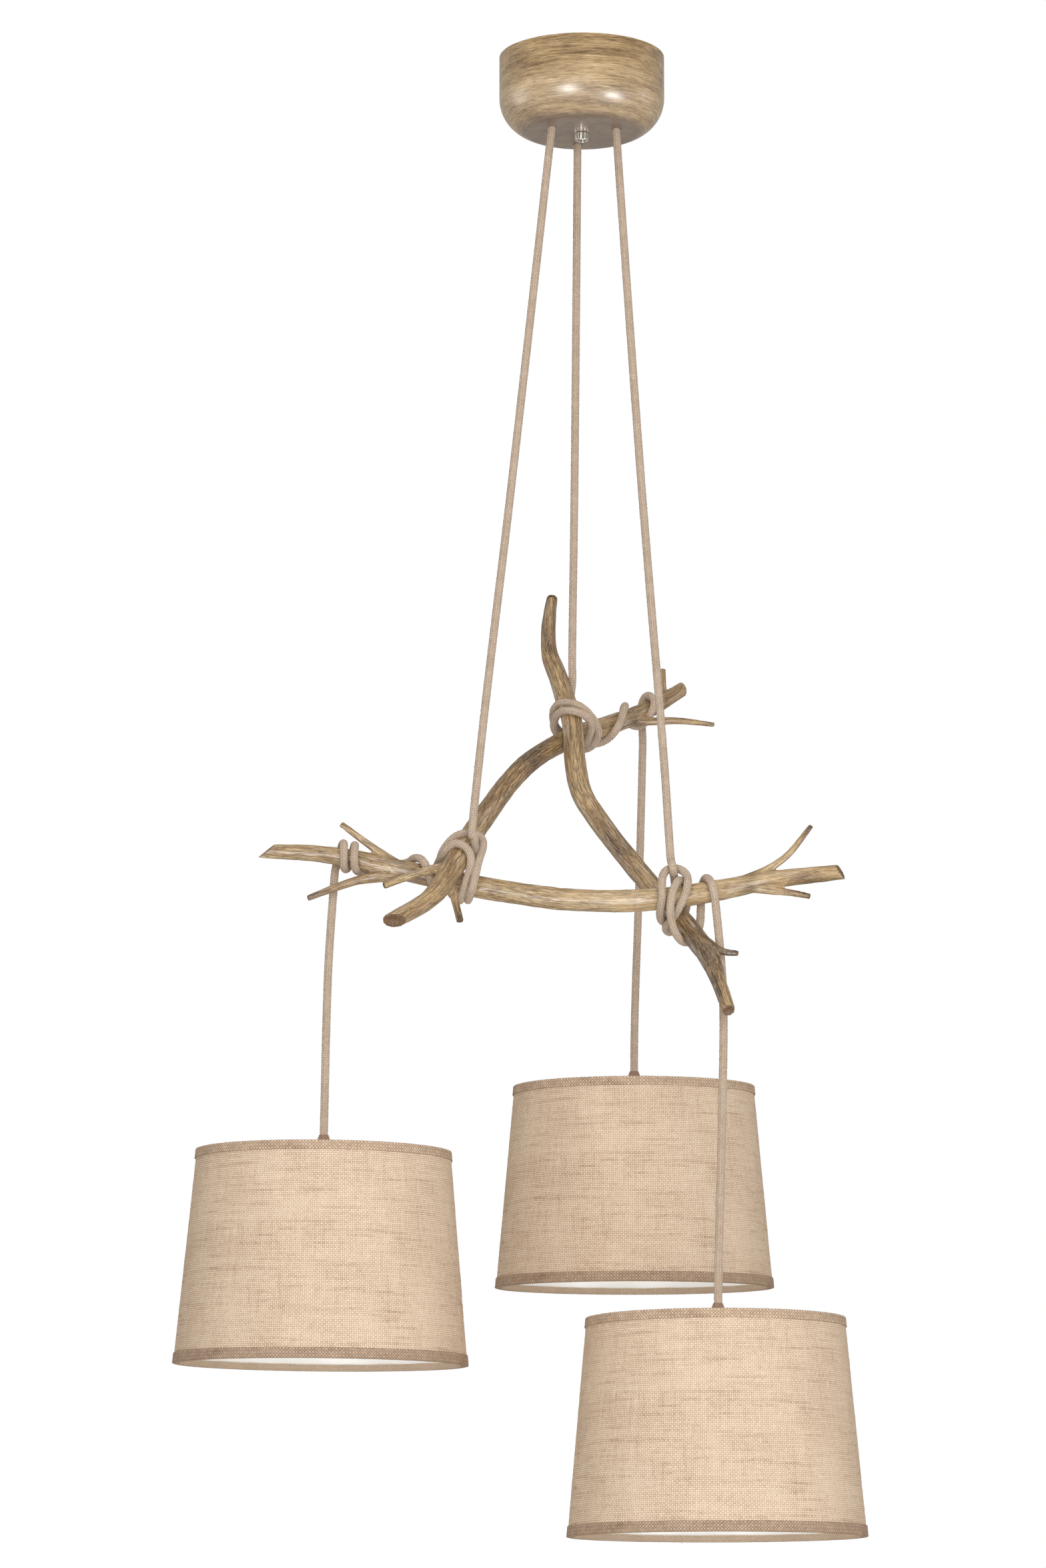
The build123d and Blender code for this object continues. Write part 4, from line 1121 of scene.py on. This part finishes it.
def lampPieces(side, place):
    look = lampLook
    top = holderLook["socketTop"] - holderLook["insert"] - holderLook["air"]
    end = top - look["baseHigh"]
    thread = []
    for step in range(look["threadSteps"] + 1):
        share = step / look["threadSteps"]
        groove = look["groove"] * (0.5 - 0.5 * cos(share * look["turns"] * 2 * pi))
        thread.append((look["base"] - groove, top - 6 - share * (look["baseHigh"] - 9)))
    contact, mouth = look["base"] / 3, look["neck"] + 0.1
    outline = [(0, top), (contact, top), (contact + 0.5, top - 1), (look["base"] - 1.4, top - 4.4)] + thread
    outline += [(look["base"], end), (mouth, end), (mouth, end + 6), (0, end + 6)]
    base = creased(turned("lampBase_" + side, outline, place, nickel, 72), 50)
    globe = top - look["length"] + look["globe"]
    skin = []
    for step in range(25):
        share = step / 24
        ease = share * share * (3 - 2 * share)
        skin.append((look["neck"] + (look["globe"] - look["neck"]) * ease, end + (globe - end) * share))
    bowl = []
    for step in range(1, 21):
        angle = step / 20 * pi / 2
        bowl.append((look["globe"] * cos(angle), globe - look["globe"] * sin(angle)))
    outside = [(look["neck"], end + 5.9)] + skin + bowl
    inside = []
    for radius, height in reversed(outside):
        inside.append((max(radius - look["wall"], 0), height + (look["wall"] if radius < 1e-6 else 0)))
    glass = creased(turned("lampGlass_" + side, outside + inside, place, opal), 40)
    return base, glass


for number, side in enumerate(sides):
    top, lean = shadePlaces[side]
    place = leaning(top, lean)
    skin = hung(side)
    shade, pendant, lamp = "shade_" + side, "pendant_" + side, "lamp_" + side

    topTape = tapePiece("topTape_", side, skin, 0, shadeLook["topTape"], 1, 4.0, number + 1)
    bottomTape = tapePiece("bottomTape_", side, skin, -shadeLook["height"], shadeLook["bottomTape"], -1, 4.3, number + 11,
                           lowTape)
    clothMade = clothPiece(side, skin)
    dressed(topTape, shade, "trim_tape", "trim_top_" + side)
    dressed(bottomTape, shade, "trim_tape", "trim_bottom_" + side)
    dressed(clothMade, shade, "shade_cloth", "shade_fabric_" + side)
    dressed(liningPiece(side, skin), shade, "lining_film", "shade_lining_" + side)
    slubs = dressed(slubPiece(side, clothMade.data, skin), shade, "shade_cloth")

    lowRing = wireRing("wireRing_" + side, shadeLook["wire"] - shadeLook["height"], skin)
    dressed(lowRing, shade, "wire_white", "bottom_ring_" + side)
    dressed(carrierPiece(side, place, skin), shade, "wire_white", "shade_carrier_" + side)

    cord, head, foot = cordLook["radius"], holderLook["capHead"], holderLook["capFoot"]
    outline = eased([(cord, capTop), (head, capTop), (foot, capBase), (cord, capBase)], 0.4, 3)
    cap = turned("cap_" + side, outline, place, capBrown, 72)
    dressed(creased(cap, 50), pendant, "cap_plastic", "cord_cap_" + side)
    dressed(holderPiece(side, place), pendant, "holder_plastic", "lampholder_" + side)
    ringNut = grippedNut("ringNut_" + side, ringNutLook, place, holderWhite)
    dressed(ringNut, "ring_nut_" + side, "holder_plastic", "shade_ring_nut_" + side)
    base, glass = lampPieces(side, place)
    dressed(base, lamp, "lamp_metal", "lamp_base_" + side)
    dressed(glass, lamp, "lamp_glass", "lamp_glass_" + side)
dressed(grippedNut("canopyNut", canopyNutLook, Matrix.Identity(4), polished), "canopy_nut", "nut_metal", "canopy_nut")
print("shades made")


# What stays as it was built: its finish only

finishes = dict(canopy=veneer, ceiling_bracket=zinc, centre_stud=zinc, stud_lock_nut=zinc, terminal_block=blockWhite)
finishes.update({"contact_insert_" + side: ceramic for side in sides})
finishes.update({"cord_stop_" + side: blockWhite for side in sides})
for name, finish in finishes.items():
    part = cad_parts[name]
    part.data.materials.clear()
    part.data.materials.append(finish)
print("other parts finished")


# Floor, world and lamps

studio = dict(floorDrop=-1.75, floorSize=9.0, world=0.48, fill=(1.0, 0.94, 0.88, 1), aim=(0, 0, -0.45))

floorPaint = Paint("floorPale", Roughness=0.9, Base_Color=(0.86, 0.86, 0.85, 1))
floorMesh = bpy.data.meshes.new("floor")
half = studio["floorSize"]
corners = [(x * half, y * half, studio["floorDrop"]) for x, y in ((-1, -1), (1, -1), (1, 1), (-1, 1))]
floorMesh.from_pydata(corners, [], [(0, 1, 2, 3)])
floorMesh.materials.append(floorPaint.material)
floor = bpy.data.objects.new("floor", floorMesh)
scene.collection.objects.link(floor)

# the room is white where the camera sees it and dimmer and warmer where it lights the lamp
world = bpy.data.worlds.new("studio")
scene.world = world
world.use_nodes = True
sky = Tree(world.node_tree)
ground = world.node_tree.nodes["Background"]
seen = sky.node("LightPath", output="Is Camera Ray").most(sky.node("LightPath", output="Is Transmission Ray"))
sky.give(sky.mix(seen, studio["fill"], (1, 1, 1, 1)), ground.inputs["Color"])
sky.give(sky.span(seen, 0, 1, studio["world"], 1), ground.inputs["Strength"])

lamps = dict(  # gloss 0 leaves a lamp out of reflections, gloss 2 is seen in them alone
    key=dict(at=(0.55, -3.1, -0.3), size=1.7, watts=38, gloss=0),
    low=dict(at=(0.25, -3.0, -1.6), size=1.2, watts=14, gloss=0),
    spotLeft=dict(at=(-0.95, -2.6, -1.35), size=1.0, watts=78, gloss=2),
    spotRight=dict(at=(1.5, -1.2, -1.62), size=0.75, watts=58, gloss=2),
    sheenLeft=dict(at=(-2.4, 0.3, -0.5), size=1.5, watts=14, gloss=2),
    sheenRight=dict(at=(2.4, 0.3, -0.5), size=1.2, watts=7, gloss=2),
    overhead=dict(at=(-0.6, -1.2, 1.6), size=0.5, watts=9, gloss=1),
)
for name, look in lamps.items():
    light = bpy.data.lights.new(name, "AREA")
    light.shape = "DISK"
    light.size = look["size"]
    light.energy = look["watts"]
    holder = bpy.data.objects.new(name, light)
    holder.location = look["at"]
    holder.rotation_euler = (Vector(studio["aim"]) - Vector(look["at"])).to_track_quat("-Z", "Y").to_euler()
    holder.visible_glossy = look["gloss"] > 0
    holder.visible_diffuse = look["gloss"] < 2
    scene.collection.objects.link(holder)
print("studio lit")
